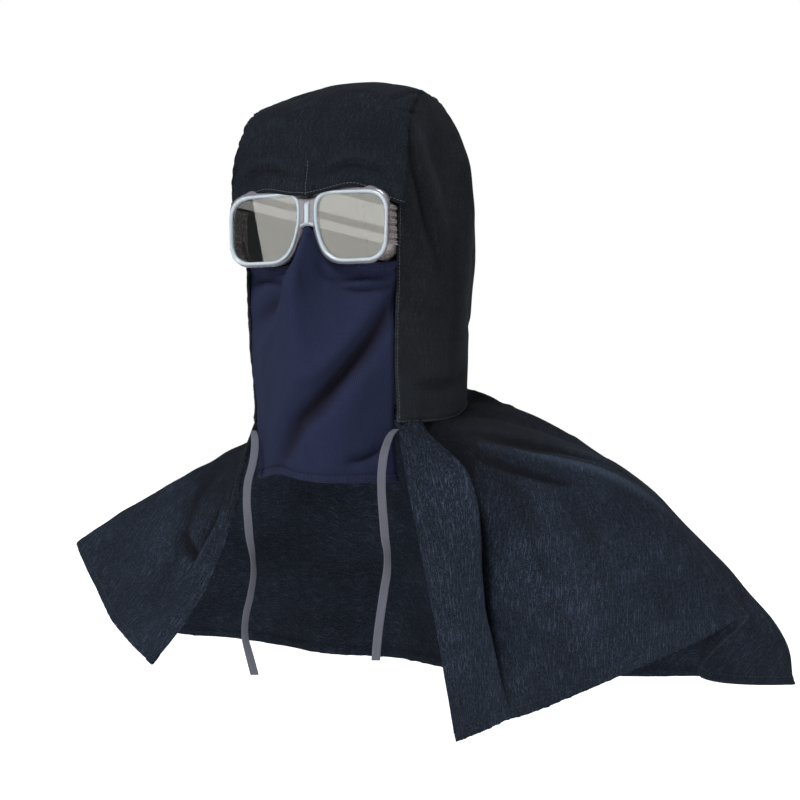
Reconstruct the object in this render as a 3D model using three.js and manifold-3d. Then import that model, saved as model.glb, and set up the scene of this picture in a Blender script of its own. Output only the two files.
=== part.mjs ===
// Protective work hood: a three-panel denim hood sewn to a shoulder cape, with a knitted face mask,
// goggles sewn into the eye opening and a flat drawstring at the neck, as it hangs when worn.
// Millimetres, +Z up. The wearer faces -Y and the wearer's left is +X.
// The origin is the inside of the crown, where the top of the head sits.
import * as THREE from "three";
import { mergeVertices } from "three/addons/utils/BufferGeometryUtils.js";
import Module from "manifold-3d";

// A table's rows as objects, with its first row as the names of the columns.
function table(columns, ...rows) {
  return rows.map((row) => Object.fromEntries(columns.map((name, i) => [name, row[i]])));
}

// Driving sizes
const DENIM_WALL = 1.6;
const KNIT_WALL = 1.4;
const SEAM_GAP = 0.9; // each panel stops this far short of its seam line
const TAPE_WIDTH = 8;
const TAPE_WALL = 1.2;

// Rows and columns of each wall's grid
const GRID = {
  centreRows: 24,
  centreColumns: 12,
  sideRows: 16,
  sideColumns: 14,
  maskRows: 18,
  maskColumns: 24,
  capeRows: 11,
  capePerSection: 3,
  tapePerPoint: 2,
  shieldRows: 4,
  shieldColumns: 12,
};

// The seam line of the left side panel: up the face, over the crown and down to the nape.
// rise is how far the middle of the centre panel stands out from the chord between the two seams.
const SEAM = table(
  ["at", "x", "y", "z", "rise"],
  ["neck_front", 62, -77, -279, 0],
  ["jaw", 63.5, -82, -228, 0],
  ["cheek", 67, -86, -165, 0],
  ["brow", 73, -94, -109, 12],
  ["forehead", 74, -92, -79, 14],
  ["hairline", 72, -84, -51, 15],
  ["front_top", 68, -67, -29, 13],
  ["crown_front", 61, -31, -14.5, 10.5],
  ["crown", 56, 6, -12, 12.8],
  ["crown_back", 50, 41, -21, 13],
  ["back_top", 46, 73, -43, 14],
  ["upper_back", 45, 95, -80, 16],
  ["occiput", 44, 103, -127, 17],
  ["upper_nape", 43, 97, -188, 14],
  ["nape", 42, 86, -246, 12],
);
const station = (name) => SEAM.findIndex((row) => row.at === name);
const CROWN_FLATNESS = 2.4; // how flat the centre panel stays before it rolls over to its seams

// Side panel fullness: how far it bows out from the flat, at the neck and per unit of height, with exponents
// of its hump towards the face and the back and of its roll into the crown seam, and how late the neck seam
// climbs to the nape
const SIDE_BOW = {
  neck: 24,
  gain: 6,
  towardsFace: 0.9,
  towardsBack: 0.5,
  crownRoll: 2.6,
  crownEdge: 0.6,
  neckClimb: 3.5,
};

// Brow edge: the centre panel's front edge is cut up over each lens
const BROW = { archLift: 14, archAt: 0.52, archWidth: 0.36, middleLift: 7, middleWidth: 0.3 };

// Face mask sections, top to bottom: half is half its width, edge and front its depths at the seam and
// the middle, nose and spread the height and half width of the ridge over the nose.
const MASK = table(
  ["z", "half", "edge", "front", "nose", "spread"],
  [-130, 68.5, -88, -99, 11, 4],
  [-146, 67.5, -87, -99.5, 22, 7],
  [-160, 66.5, -86, -102, 29, 9.5],
  [-174, 65.5, -85.5, -106, 29, 13],
  [-202, 64, -84, -113, 20, 24],
  [-238, 62.5, -81, -119, 10, 34],
  [-285, 61, -75.5, -120, 3, 40],
  [-324, 62, -71, -117, 0, 40],
);
const MASK_TOP = { half: 66.5, cheek: -156, nosePeak: 28.5, noseWidth: 11, seamLift: 3 };
const NOSE_CROWDING = 1.4; // the mask's columns close up over the nose
const MASK_HEM = { z: -325, lift: 6, liftAt: -26, liftWidth: 26 };

// Folds pressed into the mask: a soft furrow (or ridge, where depth is negative) from one place to another
const MASK_FOLDS = table(
  ["at", "fromX", "fromZ", "toX", "toZ", "depth", "width"],
  ["long_diagonal", 58, -196, -46, -318, 5, 9],
  ["under_left_lens", 16, -172, 60, -176, 4, 5],
  ["under_right_lens", -60, -182, -24, -172, 3, 5],
  ["lower_left", 30, -306, 60, -286, 3, 6],
);

// Cape sections, from its left front edge round the back to its right front edge.
// neck is the place along the neck seam, turn the section's bearing at the hem (0 front, 90 left, 180 back),
// and Out and Z its distance from the neck's axis and its height at the shoulder, the arm and the hem.
const CAPE = table(
  ["at", "neck", "turn", "shoulderOut", "shoulderZ", "armOut", "armZ", "hemOut", "hemZ"],
  ["left_front_edge", 0, 47, 128, -347, 162, -428, 182, -511],
  ["left_front_band", 0.045, 52.5, 142, -338, 168, -418, 199, -501],
  ["left_front_crease", 0.085, 55, 158, -327, 175, -406, 213, -492],
  ["left_front_furrow", 0.105, 58.5, 128, -324, 152, -401, 210, -488],
  ["left_chest", 0.14, 69, 152, -320, 205, -380, 250, -466],
  ["left_shoulder_front", 0.175, 79, 174, -314, 243, -364, 296, -438],
  ["left_shoulder", 0.215, 90, 188, -306, 264, -358, 318, -424],
  ["left_arm_furrow", 0.265, 105, 202, -309.5, 272, -392, 272, -483],
  ["left_flute", 0.305, 117, 211, -318, 338, -443, 361, -500],
  ["left_flute_back", 0.355, 129, 188, -296, 284, -412, 318, -505],
  ["back_left_furrow", 0.405, 143, 164, -288, 208, -405, 228, -508],
  ["back_left_flute", 0.455, 161, 146, -289, 192, -405, 224, -511],
  ["back_middle", 0.5, 180, 132, -293, 162, -406, 180, -510],
  ["back_right_flute", 0.545, 199, 146, -298, 192, -405, 222, -509],
  ["back_right_furrow", 0.595, 217, 160, -302, 204, -402, 226, -504],
  ["right_flute_back", 0.645, 231, 180, -318, 262, -402, 306, -498],
  ["right_flute", 0.695, 242, 182, -324, 290, -408, 338, -490],
  ["right_arm_furrow", 0.735, 254, 160, -318, 234, -374, 272, -452],
  ["right_shoulder", 0.79, 270, 142, -310, 214, -347, 288, -390],
  ["right_chest", 0.825, 278, 128, -320, 180, -374, 238, -441],
  ["right_front_furrow", 0.895, 290, 110, -332, 142, -398, 204, -461],
  ["right_front_band", 0.955, 296, 118, -342, 150, -414, 187, -472],
  ["right_front_edge", 1, 300, 113, -350, 139, -425, 178, -479],
);
const NECK_SIDE_SHARE = 0.44; // of the neck seam, the share along each side panel

// Drawstring ends: points down the middle of each tape and the bearing of its width
const LEFT_TAPE = table(
  ["x", "y", "z", "turn"],
  [63.5, -82, -284, 60],
  [63.5, -93, -289, 50],
  [63, -102, -301, 30],
  [63, -107, -317, 15],
  [63.5, -108, -333, 15],
  [64.5, -107, -351, 20],
  [65.5, -106, -366, 35],
  [67, -105, -379, 60],
  [67, -106, -391, 45],
  [66, -110, -408, 30],
  [65, -115, -428, 25],
  [64.5, -118, -442, 25],
  [64, -120, -457, 25],
);
const RIGHT_TAPE = table(
  ["x", "y", "z", "turn"],
  [-58, -88, -286, -20],
  [-53, -96, -290, 0],
  [-50, -101, -299, 8],
  [-51, -103, -312, 10],
  [-54, -105, -326, 10],
  [-55, -105, -340, 10],
  [-55, -103, -356, 25],
  [-54, -102, -371, 55],
  [-52, -101, -386, 80],
  [-51, -101, -400, 75],
  [-52.5, -103, -415, 65],
  [-55, -106, -431, 65],
  [-56, -107, -445, 65],
  [-53.5, -105, -460, 50],
  [-48.5, -104, -478, 30],
);

// Goggles: centre of each lens, the corners of the lens opening from that centre with how much each is cut
// round, and the frame's sizes
const LENS_CENTRE = { x: 37.6, y: -106.6, z: -127 };
const LENS_CORNERS = table(
  ["at", "x", "z", "cut"],
  ["top_inner", -28.8, 25, 12],
  ["nose_side", -28.8, 0, 10],
  ["bottom_inner", -19, -25.5, 15],
  ["bottom_outer", 27.5, -25.5, 16],
  ["top_outer", 28.8, 23.5, 17],
);
const OUTER_EDGE = LENS_CORNERS.find((corner) => corner.at === "top_outer").x;
const CORNER_STEPS = 5;
const CORNER_GROWTH = 0.6; // how much rounder a corner gets as the outline grows
const FRAME = { rim: 4, depth: 6, groove: 1.2, lens: 2.6, lensPlay: 0.3 };
const BRIDGE = { half: 8, top: 24, bottom: -2, arch: 6, depth: 4.4 };
const SHIELD = { reach: 20, wall: 1.6, inset: 3.4, top: 17, bottomX: 16, gap: 0.4, steps: 90 };
const VENTS = { rows: 6, columns: 3, pitchZ: 5.4, pitchY: 5, firstY: 3.4, long: 3.4, high: 1.7, deep: 14 };

const COLOURS = { denim: 0x171b22, knit: 0x1d2138, tape: 0x6d6a72, frame: 0xc9ced4, glass: 0xdfe8e6 };

// Shapes through named rows

// One column of a table as a smooth curve through its rows, with t counted in rows.
function through(rows, column, t) {
  const last = rows.length - 1;
  const i = Math.min(Math.max(Math.floor(t), 0), last - 1);
  const f = t - i;
  const value = (k) => rows[Math.min(Math.max(k, 0), last)][column];
  const [a, b, c, d] = [value(i - 1), value(i), value(i + 1), value(i + 2)];
  const slopeB = (c - a) / (i > 0 ? 2 : 1);
  const slopeC = (d - b) / (i + 2 <= last ? 2 : 1);
  const f2 = f * f;
  const f3 = f2 * f;
  const places = (2 * f3 - 3 * f2 + 1) * b + (3 * f2 - 2 * f3) * c;
  const slopes = (f3 - 2 * f2 + f) * slopeB + (f3 - f2) * slopeC;
  return places + slopes;
}

const bell = (distance, width) => Math.exp(-((distance / width) ** 2));
const span = (count) => Array.from({ length: count + 1 }, (_, i) => i / count);

function seamPoint(t) {
  return new THREE.Vector3(through(SEAM, "x", t), through(SEAM, "y", t), through(SEAM, "z", t));
}

// The centre panel: t counts seam rows from the brow to the nape, and across runs from -1 to 1.
function centrePoint(t, across) {
  const seam = seamPoint(t);
  const step = 0.01;
  const along = seamPoint(t + step).sub(seamPoint(t - step));
  const out = new THREE.Vector3(0, -along.z, along.y).normalize();
  const height = through(SEAM, "rise", t) * (1 - Math.abs(across) ** CROWN_FLATNESS);
  return new THREE.Vector3(seam.x * across, seam.y, seam.z).addScaledVector(out, height);
}

// The brow edge's place in seam rows, which rises over each lens.
function browStart(across) {
  const a = Math.abs(across);
  const arch = BROW.archLift * bell(a - BROW.archAt, BROW.archWidth);
  const lift = arch + BROW.middleLift * bell(a, BROW.middleWidth);
  const rowHeight = SEAM[station("forehead")].z - SEAM[station("brow")].z;
  return station("brow") + lift / rowHeight;
}

// The left side panel: up runs from the neck to the crown and back from the face to the nape.
// A patch between its four seams, bowed out sideways.
function sidePoint(up, back) {
  const front = (s) => seamPoint(s * station("front_top"));
  const top = (s) => seamPoint(station("front_top") + s * (station("back_top") - station("front_top")));
  const rear = (s) => seamPoint(station("nape") + s * (station("back_top") - station("nape")));
  const neck = (s) => {
    const chord = front(0).lerp(rear(0), s);
    return chord.setZ(THREE.MathUtils.lerp(front(0).z, rear(0).z, s ** SIDE_BOW.neckClimb));
  };
  const ruledBack = front(up).lerp(rear(up), back);
  const ruledUp = neck(back).lerp(top(back), up);
  const corners = front(0).lerp(rear(0), back).lerp(front(1).lerp(rear(1), back), up);
  const point = ruledBack.add(ruledUp).sub(corners);
  const peak = SIDE_BOW.towardsFace / (SIDE_BOW.towardsFace + SIDE_BOW.towardsBack);
  const hump = (back / peak) ** SIDE_BOW.towardsFace * ((1 - back) / (1 - peak)) ** SIDE_BOW.towardsBack;
  const roll = (1 - up ** SIDE_BOW.crownRoll) ** SIDE_BOW.crownEdge;
  point.x += (SIDE_BOW.neck + SIDE_BOW.gain * up) * roll * hump;
  return point;
}

// The neck seam from the left front corner round the back to the right front corner.
function neckPoint(share) {
  if (share <= NECK_SIDE_SHARE) return sidePoint(0, share / NECK_SIDE_SHARE);
  if (share >= 1 - NECK_SIDE_SHARE) {
    const left = sidePoint(0, (1 - share) / NECK_SIDE_SHARE);
    return left.setX(-left.x);
  }
  return centrePoint(station("nape"), (0.5 - share) / (0.5 - NECK_SIDE_SHARE));
}

// The cape: t counts cape rows, and down runs from the neck seam to the hem.
function capePoint(t, down) {
  const neck = neckPoint(through(CAPE, "neck", t));
  const neckAngle = THREE.MathUtils.radToDeg(Math.atan2(neck.x, -neck.y));
  const neckTurn = THREE.MathUtils.euclideanModulo(neckAngle, 360);
  const column = (name) => through(CAPE, name, t);
  const profile = [
    { out: Math.hypot(neck.x, neck.y), z: neck.z },
    { out: column("shoulderOut"), z: column("shoulderZ") },
    { out: column("armOut"), z: column("armZ") },
    { out: column("hemOut"), z: column("hemZ") },
  ];
  const place = down * (profile.length - 1);
  const bearing = THREE.MathUtils.degToRad(THREE.MathUtils.lerp(neckTurn, column("turn"), down));
  const out = through(profile, "out", place);
  return new THREE.Vector3(out * Math.sin(bearing), -out * Math.cos(bearing), through(profile, "z", place));
}

// How far the mask's folds push it back at a place on its face.
function maskFold(x, z) {
  let push = 0;
  for (const fold of MASK_FOLDS) {
    const run = new THREE.Vector2(fold.toX - fold.fromX, fold.toZ - fold.fromZ);
    const offset = new THREE.Vector2(x - fold.fromX, z - fold.fromZ);
    const along = THREE.MathUtils.clamp(offset.dot(run) / run.lengthSq(), 0, 1);
    const away = offset.addScaledVector(run, -along).length();
    push += fold.depth * Math.sin(Math.PI * along) * bell(away, fold.width);
  }
  return push;
}

// The mask: across runs from -1 to 1, and down from its top edge to its hem.
function maskPoint(across, down) {
  const nearX = across * MASK_TOP.half;
  const topZ =
    MASK_TOP.cheek +
    MASK_TOP.nosePeak * bell(nearX, MASK_TOP.noseWidth) +
    MASK_TOP.seamLift * Math.abs(across) ** 4;
  const hemZ = MASK_HEM.z + MASK_HEM.lift * bell(nearX - MASK_HEM.liftAt, MASK_HEM.liftWidth);
  const z = THREE.MathUtils.lerp(topZ, hemZ, down);
  let row = MASK.findIndex((section) => section.z <= z);
  row = row < 0 ? MASK.length - 1 : Math.max(row, 1);
  const t = row - (z - MASK[row].z) / (MASK[row - 1].z - MASK[row].z);
  const column = (name) => through(MASK, name, t);
  const x = across * column("half");
  const arch = 1 - across * across;
  const ridge = column("nose") * bell(x, column("spread"));
  const y = column("edge") + (column("front") - column("edge")) * arch - ridge;
  return new THREE.Vector3(x, y + maskFold(x, z), z);
}

// Solids from grids of points

// Draws a grid's border in from its seams: first and last rows, first and last columns.
function drawIn(grid, firstRow, lastRow, firstColumn, lastColumn) {
  const move = (point, inner, gap) => point.addScaledVector(inner.clone().sub(point).normalize(), gap);
  const n = grid.length - 1;
  const m = grid[0].length - 1;
  for (const row of grid) {
    if (firstColumn) move(row[0], row[1], firstColumn);
    if (lastColumn) move(row[m], row[m - 1], lastColumn);
  }
  for (let j = 0; j <= m; j++) {
    if (firstRow) move(grid[0][j], grid[1][j], firstRow);
    if (lastRow) move(grid[n][j], grid[n - 1][j], lastRow);
  }
  return grid;
}

// A closed wall of even thickness, half on each side of a grid of points.
function wall(grid, thickness) {
  const rows = grid.length;
  const columns = grid[0].length;
  const count = rows * columns;
  const positions = new Float32Array(count * 6);
  const index = [];
  const at = (i, j) => i * columns + j;
  const clampTo = (k, most) => Math.min(Math.max(k, 0), most);
  for (let i = 0; i < rows; i++) {
    for (let j = 0; j < columns; j++) {
      const across = grid[i][clampTo(j + 1, columns - 1)].clone().sub(grid[i][clampTo(j - 1, columns - 1)]);
      const down = grid[clampTo(i + 1, rows - 1)][j].clone().sub(grid[clampTo(i - 1, rows - 1)][j]);
      const normal = across.normalize().cross(down.normalize()).normalize();
      for (const side of [0, 1]) {
        const offset = thickness * (0.5 - side);
        grid[i][j].clone().addScaledVector(normal, offset).toArray(positions, (side * count + at(i, j)) * 3);
      }
    }
  }
  const quad = (a, b, c, d) => index.push(a, b, c, a, c, d);
  for (let i = 0; i < rows - 1; i++) {
    for (let j = 0; j < columns - 1; j++) {
      const [a, b, c, d] = [at(i, j), at(i, j + 1), at(i + 1, j + 1), at(i + 1, j)];
      quad(a, b, c, d);
      quad(count + a, count + d, count + c, count + b);
    }
  }
  for (let j = 0; j < columns - 1; j++) {
    quad(at(0, j + 1), at(0, j), count + at(0, j), count + at(0, j + 1));
    quad(at(rows - 1, j), at(rows - 1, j + 1), count + at(rows - 1, j + 1), count + at(rows - 1, j));
  }
  for (let i = 0; i < rows - 1; i++) {
    quad(at(i, 0), at(i + 1, 0), count + at(i + 1, 0), count + at(i, 0));
    const [upper, lower] = [at(i, columns - 1), at(i + 1, columns - 1)];
    quad(lower, upper, count + upper, count + lower);
  }
  const geometry = new THREE.BufferGeometry();
  geometry.setAttribute("position", new THREE.BufferAttribute(positions, 3));
  geometry.setIndex(index);
  geometry.computeVertexNormals();
  return geometry;
}

const mirrored = (grid) => grid.map((row) => row.map((p) => new THREE.Vector3(-p.x, p.y, p.z)));

// Booleans

const wasm = await Module();
wasm.setup();

function solid(geometry) {
  const bare = geometry.clone();
  bare.deleteAttribute("normal");
  bare.deleteAttribute("uv");
  const merged = mergeVertices(bare, 1e-4);
  return new wasm.Manifold(
    new wasm.Mesh({
      numProp: 3,
      vertProperties: new Float32Array(merged.attributes.position.array),
      triVerts: new Uint32Array(merged.index.array),
    }),
  );
}

function geometryOf(manifold) {
  const mesh = manifold.getMesh();
  const geometry = new THREE.BufferGeometry();
  geometry.setAttribute("position", new THREE.BufferAttribute(new Float32Array(mesh.vertProperties), 3));
  geometry.setIndex(new THREE.BufferAttribute(new Uint32Array(mesh.triVerts), 1));
  geometry.computeVertexNormals();
  return geometry;
}

// Hood panels

function centrePanel() {
  const grid = span(GRID.centreRows).map((f) =>
    span(GRID.centreColumns).map((g) => {
      const across = 1 - 2 * g;
      const start = browStart(across);
      return centrePoint(start + f * (station("nape") - start), across);
    }),
  );
  return wall(drawIn(grid, 0, SEAM_GAP, SEAM_GAP, SEAM_GAP), DENIM_WALL);
}

function sideGrid() {
  const grid = span(GRID.sideRows).map((up) => span(GRID.sideColumns).map((back) => sidePoint(up, back)));
  return drawIn(grid, SEAM_GAP, SEAM_GAP, SEAM_GAP, SEAM_GAP);
}

function faceMask() {
  const grid = span(GRID.maskRows).map((down) =>
    span(GRID.maskColumns).map((f) => {
      const q = 2 * f - 1;
      const across = Math.sign(q) * Math.abs(q) ** NOSE_CROWDING;
      return maskPoint(across, down);
    }),
  );
  return wall(drawIn(grid, 0, 0, SEAM_GAP, SEAM_GAP), KNIT_WALL);
}

function cape() {
  const sections = CAPE.length - 1;
  const grid = span(GRID.capeRows).map((down) =>
    span(GRID.capePerSection * sections).map((f) => capePoint(f * sections, down)),
  );
  return wall(drawIn(grid, SEAM_GAP, 0, 0, 0), DENIM_WALL);
}

function tape(route) {
  const spans = route.length - 1;
  const grid = span(GRID.tapePerPoint * spans).map((f) => {
    const t = f * spans;
    const middle = new THREE.Vector3(through(route, "x", t), through(route, "y", t), through(route, "z", t));
    const bearing = THREE.MathUtils.degToRad(through(route, "turn", t));
    const half = new THREE.Vector3(Math.cos(bearing), Math.sin(bearing), 0).multiplyScalar(TAPE_WIDTH / 2);
    return [middle.clone().sub(half), middle.clone().add(half)];
  });
  return wall(grid, TAPE_WALL);
}

// Goggles

// The lens opening's outline, grown outwards, in x and z from the lens centre, for one side of the face.
function lensOutline(grow, side) {
  const corners = LENS_CORNERS.map(({ x, z, cut }) => ({
    point: new THREE.Vector2(side * (x + Math.sign(x) * grow), z + (z === 0 ? 0 : Math.sign(z) * grow)),
    cut: cut + grow * CORNER_GROWTH,
  }));
  const shape = new THREE.Shape();
  corners.forEach(({ point, cut }, i) => {
    const before = corners[(i + corners.length - 1) % corners.length].point;
    const after = corners[(i + 1) % corners.length].point;
    const from = point.clone().addScaledVector(before.clone().sub(point).normalize(), cut);
    const to = point.clone().addScaledVector(after.clone().sub(point).normalize(), cut);
    if (i === 0) shape.moveTo(from.x, from.y);
    else shape.lineTo(from.x, from.y);
    shape.quadraticCurveTo(point.x, point.y, to.x, to.y);
  });
  shape.closePath();
  return shape;
}

// A flat plate in the lens plane: its outline in x and z, its middle at a depth, and its thickness.
function plate(shape, x, y, thickness) {
  const geometry = new THREE.ExtrudeGeometry(shape, {
    depth: thickness,
    bevelEnabled: false,
    curveSegments: CORNER_STEPS,
  });
  geometry.rotateX(Math.PI / 2);
  geometry.translate(x, y + thickness / 2, LENS_CENTRE.z);
  return geometry;
}

function bridgeShape() {
  const shape = new THREE.Shape();
  shape.moveTo(-BRIDGE.half, BRIDGE.top);
  shape.quadraticCurveTo(0, BRIDGE.top - BRIDGE.arch / 2, BRIDGE.half, BRIDGE.top);
  shape.lineTo(BRIDGE.half, BRIDGE.bottom);
  shape.quadraticCurveTo(0, BRIDGE.bottom + BRIDGE.arch, -BRIDGE.half, BRIDGE.bottom);
  shape.closePath();
  return shape;
}

function goggleFrame() {
  let frame = solid(plate(bridgeShape(), 0, LENS_CENTRE.y, BRIDGE.depth));
  for (const side of [1, -1]) {
    const x = side * LENS_CENTRE.x;
    frame = frame.add(solid(plate(lensOutline(FRAME.rim, side), x, LENS_CENTRE.y, FRAME.depth)));
  }
  for (const side of [1, -1]) {
    const x = side * LENS_CENTRE.x;
    const groove = FRAME.lens + 2 * FRAME.lensPlay;
    frame = frame.subtract(solid(plate(lensOutline(0, side), x, LENS_CENTRE.y, FRAME.depth * 2)));
    frame = frame.subtract(solid(plate(lensOutline(FRAME.groove, side), x, LENS_CENTRE.y, groove)));
  }
  return geometryOf(frame);
}

function lens(side) {
  const outline = lensOutline(FRAME.groove - FRAME.lensPlay, side);
  return plate(outline, side * LENS_CENTRE.x, LENS_CENTRE.y, FRAME.lens);
}

// A vented shield that runs straight back from the outer half of a rim, under the hood's edge.
function sideShield(side) {
  const outline = lensOutline(FRAME.rim - SHIELD.inset, 1)
    .getSpacedPoints(SHIELD.steps)
    .filter((p) => p.x > SHIELD.bottomX && p.y < SHIELD.top);
  const rim = span(GRID.shieldColumns).map((f) => outline[Math.round(f * (outline.length - 1))]);
  const backOfRim = LENS_CENTRE.y + FRAME.depth / 2 + SHIELD.gap;
  const grid = span(GRID.shieldRows).map((back) =>
    rim.map((p) => {
      const x = side * (LENS_CENTRE.x + p.x);
      return new THREE.Vector3(x, backOfRim + SHIELD.reach * back, LENS_CENTRE.z + p.y);
    }),
  );
  let shield = solid(wall(grid, SHIELD.wall));
  for (let row = 0; row < VENTS.rows; row++) {
    for (let column = 0; column < VENTS.columns; column++) {
      const vent = new THREE.BoxGeometry(VENTS.deep, VENTS.long, VENTS.high);
      const x = side * (LENS_CENTRE.x + OUTER_EDGE);
      const y = backOfRim + VENTS.firstY + VENTS.pitchY * column;
      const z = LENS_CENTRE.z + VENTS.pitchZ * (row - (VENTS.rows - 1) / 2);
      shield = shield.subtract(solid(vent.translate(x, y, z)));
    }
  }
  return geometryOf(shield);
}

// Assembly

const finish = (colour, roughness, extra = {}) =>
  new THREE.MeshStandardMaterial({ color: colour, roughness, metalness: 0, ...extra });
const denim = finish(COLOURS.denim, 0.9);
const knit = finish(COLOURS.knit, 0.95);
const tapeCloth = finish(COLOURS.tape, 0.85);
const frosted = finish(COLOURS.frame, 0.35, { transparent: true, opacity: 0.8 });
const glass = finish(COLOURS.glass, 0.05, { transparent: true, opacity: 0.25 });

const hood = new THREE.Group();
function add(name, geometry, material) {
  const mesh = new THREE.Mesh(geometry, material);
  mesh.name = name;
  hood.add(mesh);
}

add("centre_panel", centrePanel(), denim);
add("side_panel_left", wall(sideGrid(), DENIM_WALL), denim);
add("side_panel_right", wall(mirrored(sideGrid()), DENIM_WALL), denim);
add("face_mask", faceMask(), knit);
add("cape", cape(), denim);
add("drawstring_left", tape(LEFT_TAPE), tapeCloth);
add("drawstring_right", tape(RIGHT_TAPE), tapeCloth);
add("goggle_frame", goggleFrame(), frosted);
add("lens_left", lens(1), glass);
add("lens_right", lens(-1), glass);
add("side_shield_left", sideShield(1), frosted);
add("side_shield_right", sideShield(-1), frosted);

export default hood;
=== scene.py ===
import math

import bpy
import numpy as np
from mathutils import Matrix


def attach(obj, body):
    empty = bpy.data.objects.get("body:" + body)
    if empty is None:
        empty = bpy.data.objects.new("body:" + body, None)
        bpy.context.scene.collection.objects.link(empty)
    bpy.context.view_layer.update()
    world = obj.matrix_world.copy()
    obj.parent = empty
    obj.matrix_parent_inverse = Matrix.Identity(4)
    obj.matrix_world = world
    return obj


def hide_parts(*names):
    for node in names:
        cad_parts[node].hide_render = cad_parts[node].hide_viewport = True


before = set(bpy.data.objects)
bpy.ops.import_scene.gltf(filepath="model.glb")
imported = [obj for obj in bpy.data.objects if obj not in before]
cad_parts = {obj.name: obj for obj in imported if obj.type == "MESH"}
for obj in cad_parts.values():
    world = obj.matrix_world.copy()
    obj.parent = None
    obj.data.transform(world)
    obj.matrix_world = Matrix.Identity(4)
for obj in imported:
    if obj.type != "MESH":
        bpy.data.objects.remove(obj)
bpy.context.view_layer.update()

# The dressed protective hood: denim panels and shoulder cape, knitted mask, frosted goggles, two tape ends.
# Tables are in millimetres in the part's own frame: +Z up, the hood faces -Y, its own left is +X.
MM = 0.001


class Settings(dict):
    """Named values, which are also read as attributes."""

    __getattr__ = dict.__getitem__


def table(columns, *rows):
    """A table's columns by name, from rows written under a heading row."""
    return Settings({
        name: column if isinstance(column[0], str) else np.array(column, float)
        for name, column in zip(columns, zip(*rows))
    })


# Seam line of the left side panel, and how far the centre panel's middle stands out from it
SEAM = table(
    ("at", "x", "y", "z", "rise"),
    ("neck_front", 62, -77, -279, 0),
    ("jaw", 63.5, -82, -228, 0),
    ("cheek", 67, -86, -165, 0),
    ("brow", 73, -94, -109, 12),
    ("forehead", 74, -92, -79, 14),
    ("hairline", 72, -84, -51, 15),
    ("front_top", 68, -67, -29, 13),
    ("crown_front", 61, -31, -14.5, 10.5),
    ("crown", 56, 6, -12, 12.8),
    ("crown_back", 50, 41, -21, 13),
    ("back_top", 46, 73, -43, 14),
    ("upper_back", 45, 95, -80, 16),
    ("occiput", 44, 103, -127, 17),
    ("upper_nape", 43, 97, -188, 14),
    ("nape", 42, 86, -246, 12),
)
CROWN_FLATNESS = 2.4
SIDE_BOW = Settings(neck=24, gain=6, face=0.9, back=0.5, crown_roll=2.6, crown_edge=0.6, neck_climb=3.5)
BROW = Settings(arch_lift=14, arch_at=0.52, arch_width=0.36, middle_lift=7, middle_width=0.3)

# Mask sections, top to bottom
MASK = table(
    ("z", "half", "edge", "front", "nose", "spread"),
    (-130, 68.5, -88, -99, 11, 4),
    (-146, 67.5, -87, -99.5, 22, 7),
    (-160, 66.5, -86, -102, 29, 9.5),
    (-174, 65.5, -85.5, -106, 29, 13),
    (-202, 64, -84, -113, 20, 24),
    (-238, 62.5, -81, -119, 10, 34),
    (-285, 61, -75.5, -120, 3, 40),
    (-324, 62, -71, -117, 0, 40),
)
MASK_TOP = Settings(half=66.5, cheek=-156, nose_peak=28.5, nose_width=11, seam_lift=3)
MASK_HEM = Settings(z=-325, lift=6, lift_at=-26, lift_width=26)

# Cape sections, from its left front edge round the back to its right front edge
CAPE = table(
    ("at", "neck", "turn", "shoulder_out", "shoulder_z", "arm_out", "arm_z", "hem_out", "hem_z"),
    ("left_front_edge", 0, 46, 127, -347, 161, -428, 184, -511),
    ("left_front_band", 0.045, 51, 140, -338, 172, -418, 199, -501),
    ("left_front_crease", 0.085, 53.5, 150, -327, 175, -406, 213, -492),
    ("left_front_furrow", 0.105, 57.2, 125, -324, 150, -401, 219, -488),
    ("left_chest", 0.14, 69, 152, -320, 205, -380, 250, -466),
    ("left_shoulder_front", 0.175, 79, 174, -314, 243, -364, 296, -438),
    ("left_shoulder", 0.215, 90, 188, -306, 264, -358, 318, -424),
    ("left_arm_furrow", 0.265, 105, 202, -309.5, 272, -392, 272, -483),
    ("left_flute", 0.305, 117, 211, -318, 338, -443, 361, -500),
    ("left_flute_back", 0.355, 129, 188, -296, 284, -412, 318, -505),
    ("back_left_furrow", 0.405, 143, 164, -288, 208, -405, 228, -508),
    ("back_left_flute", 0.455, 161, 146, -289, 192, -405, 224, -511),
    ("back_middle", 0.5, 180, 132, -293, 162, -406, 180, -510),
    ("back_right_flute", 0.545, 199, 146, -298, 192, -405, 222, -509),
    ("back_right_furrow", 0.595, 217, 160, -302, 204, -402, 226, -504),
    ("right_flute_back", 0.645, 231, 180, -318, 262, -402, 306, -498),
    ("right_flute", 0.695, 242, 182, -324, 290, -408, 338, -490),
    ("right_arm_furrow", 0.735, 254, 160, -318, 234, -374, 272, -452),
    ("right_shoulder", 0.79, 270, 142, -310, 214, -347, 288, -390),
    ("right_chest", 0.825, 278, 128, -320, 180, -374, 238, -441),
    ("right_front_furrow", 0.895, 290, 110, -332, 142, -398, 204, -461),
    ("right_front_band", 0.955, 296, 118, -342, 150, -414, 187, -472),
    ("right_front_edge", 1, 300, 113, -350, 139, -425, 178, -479),
)
NECK_SIDE_SHARE = 0.44

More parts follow.
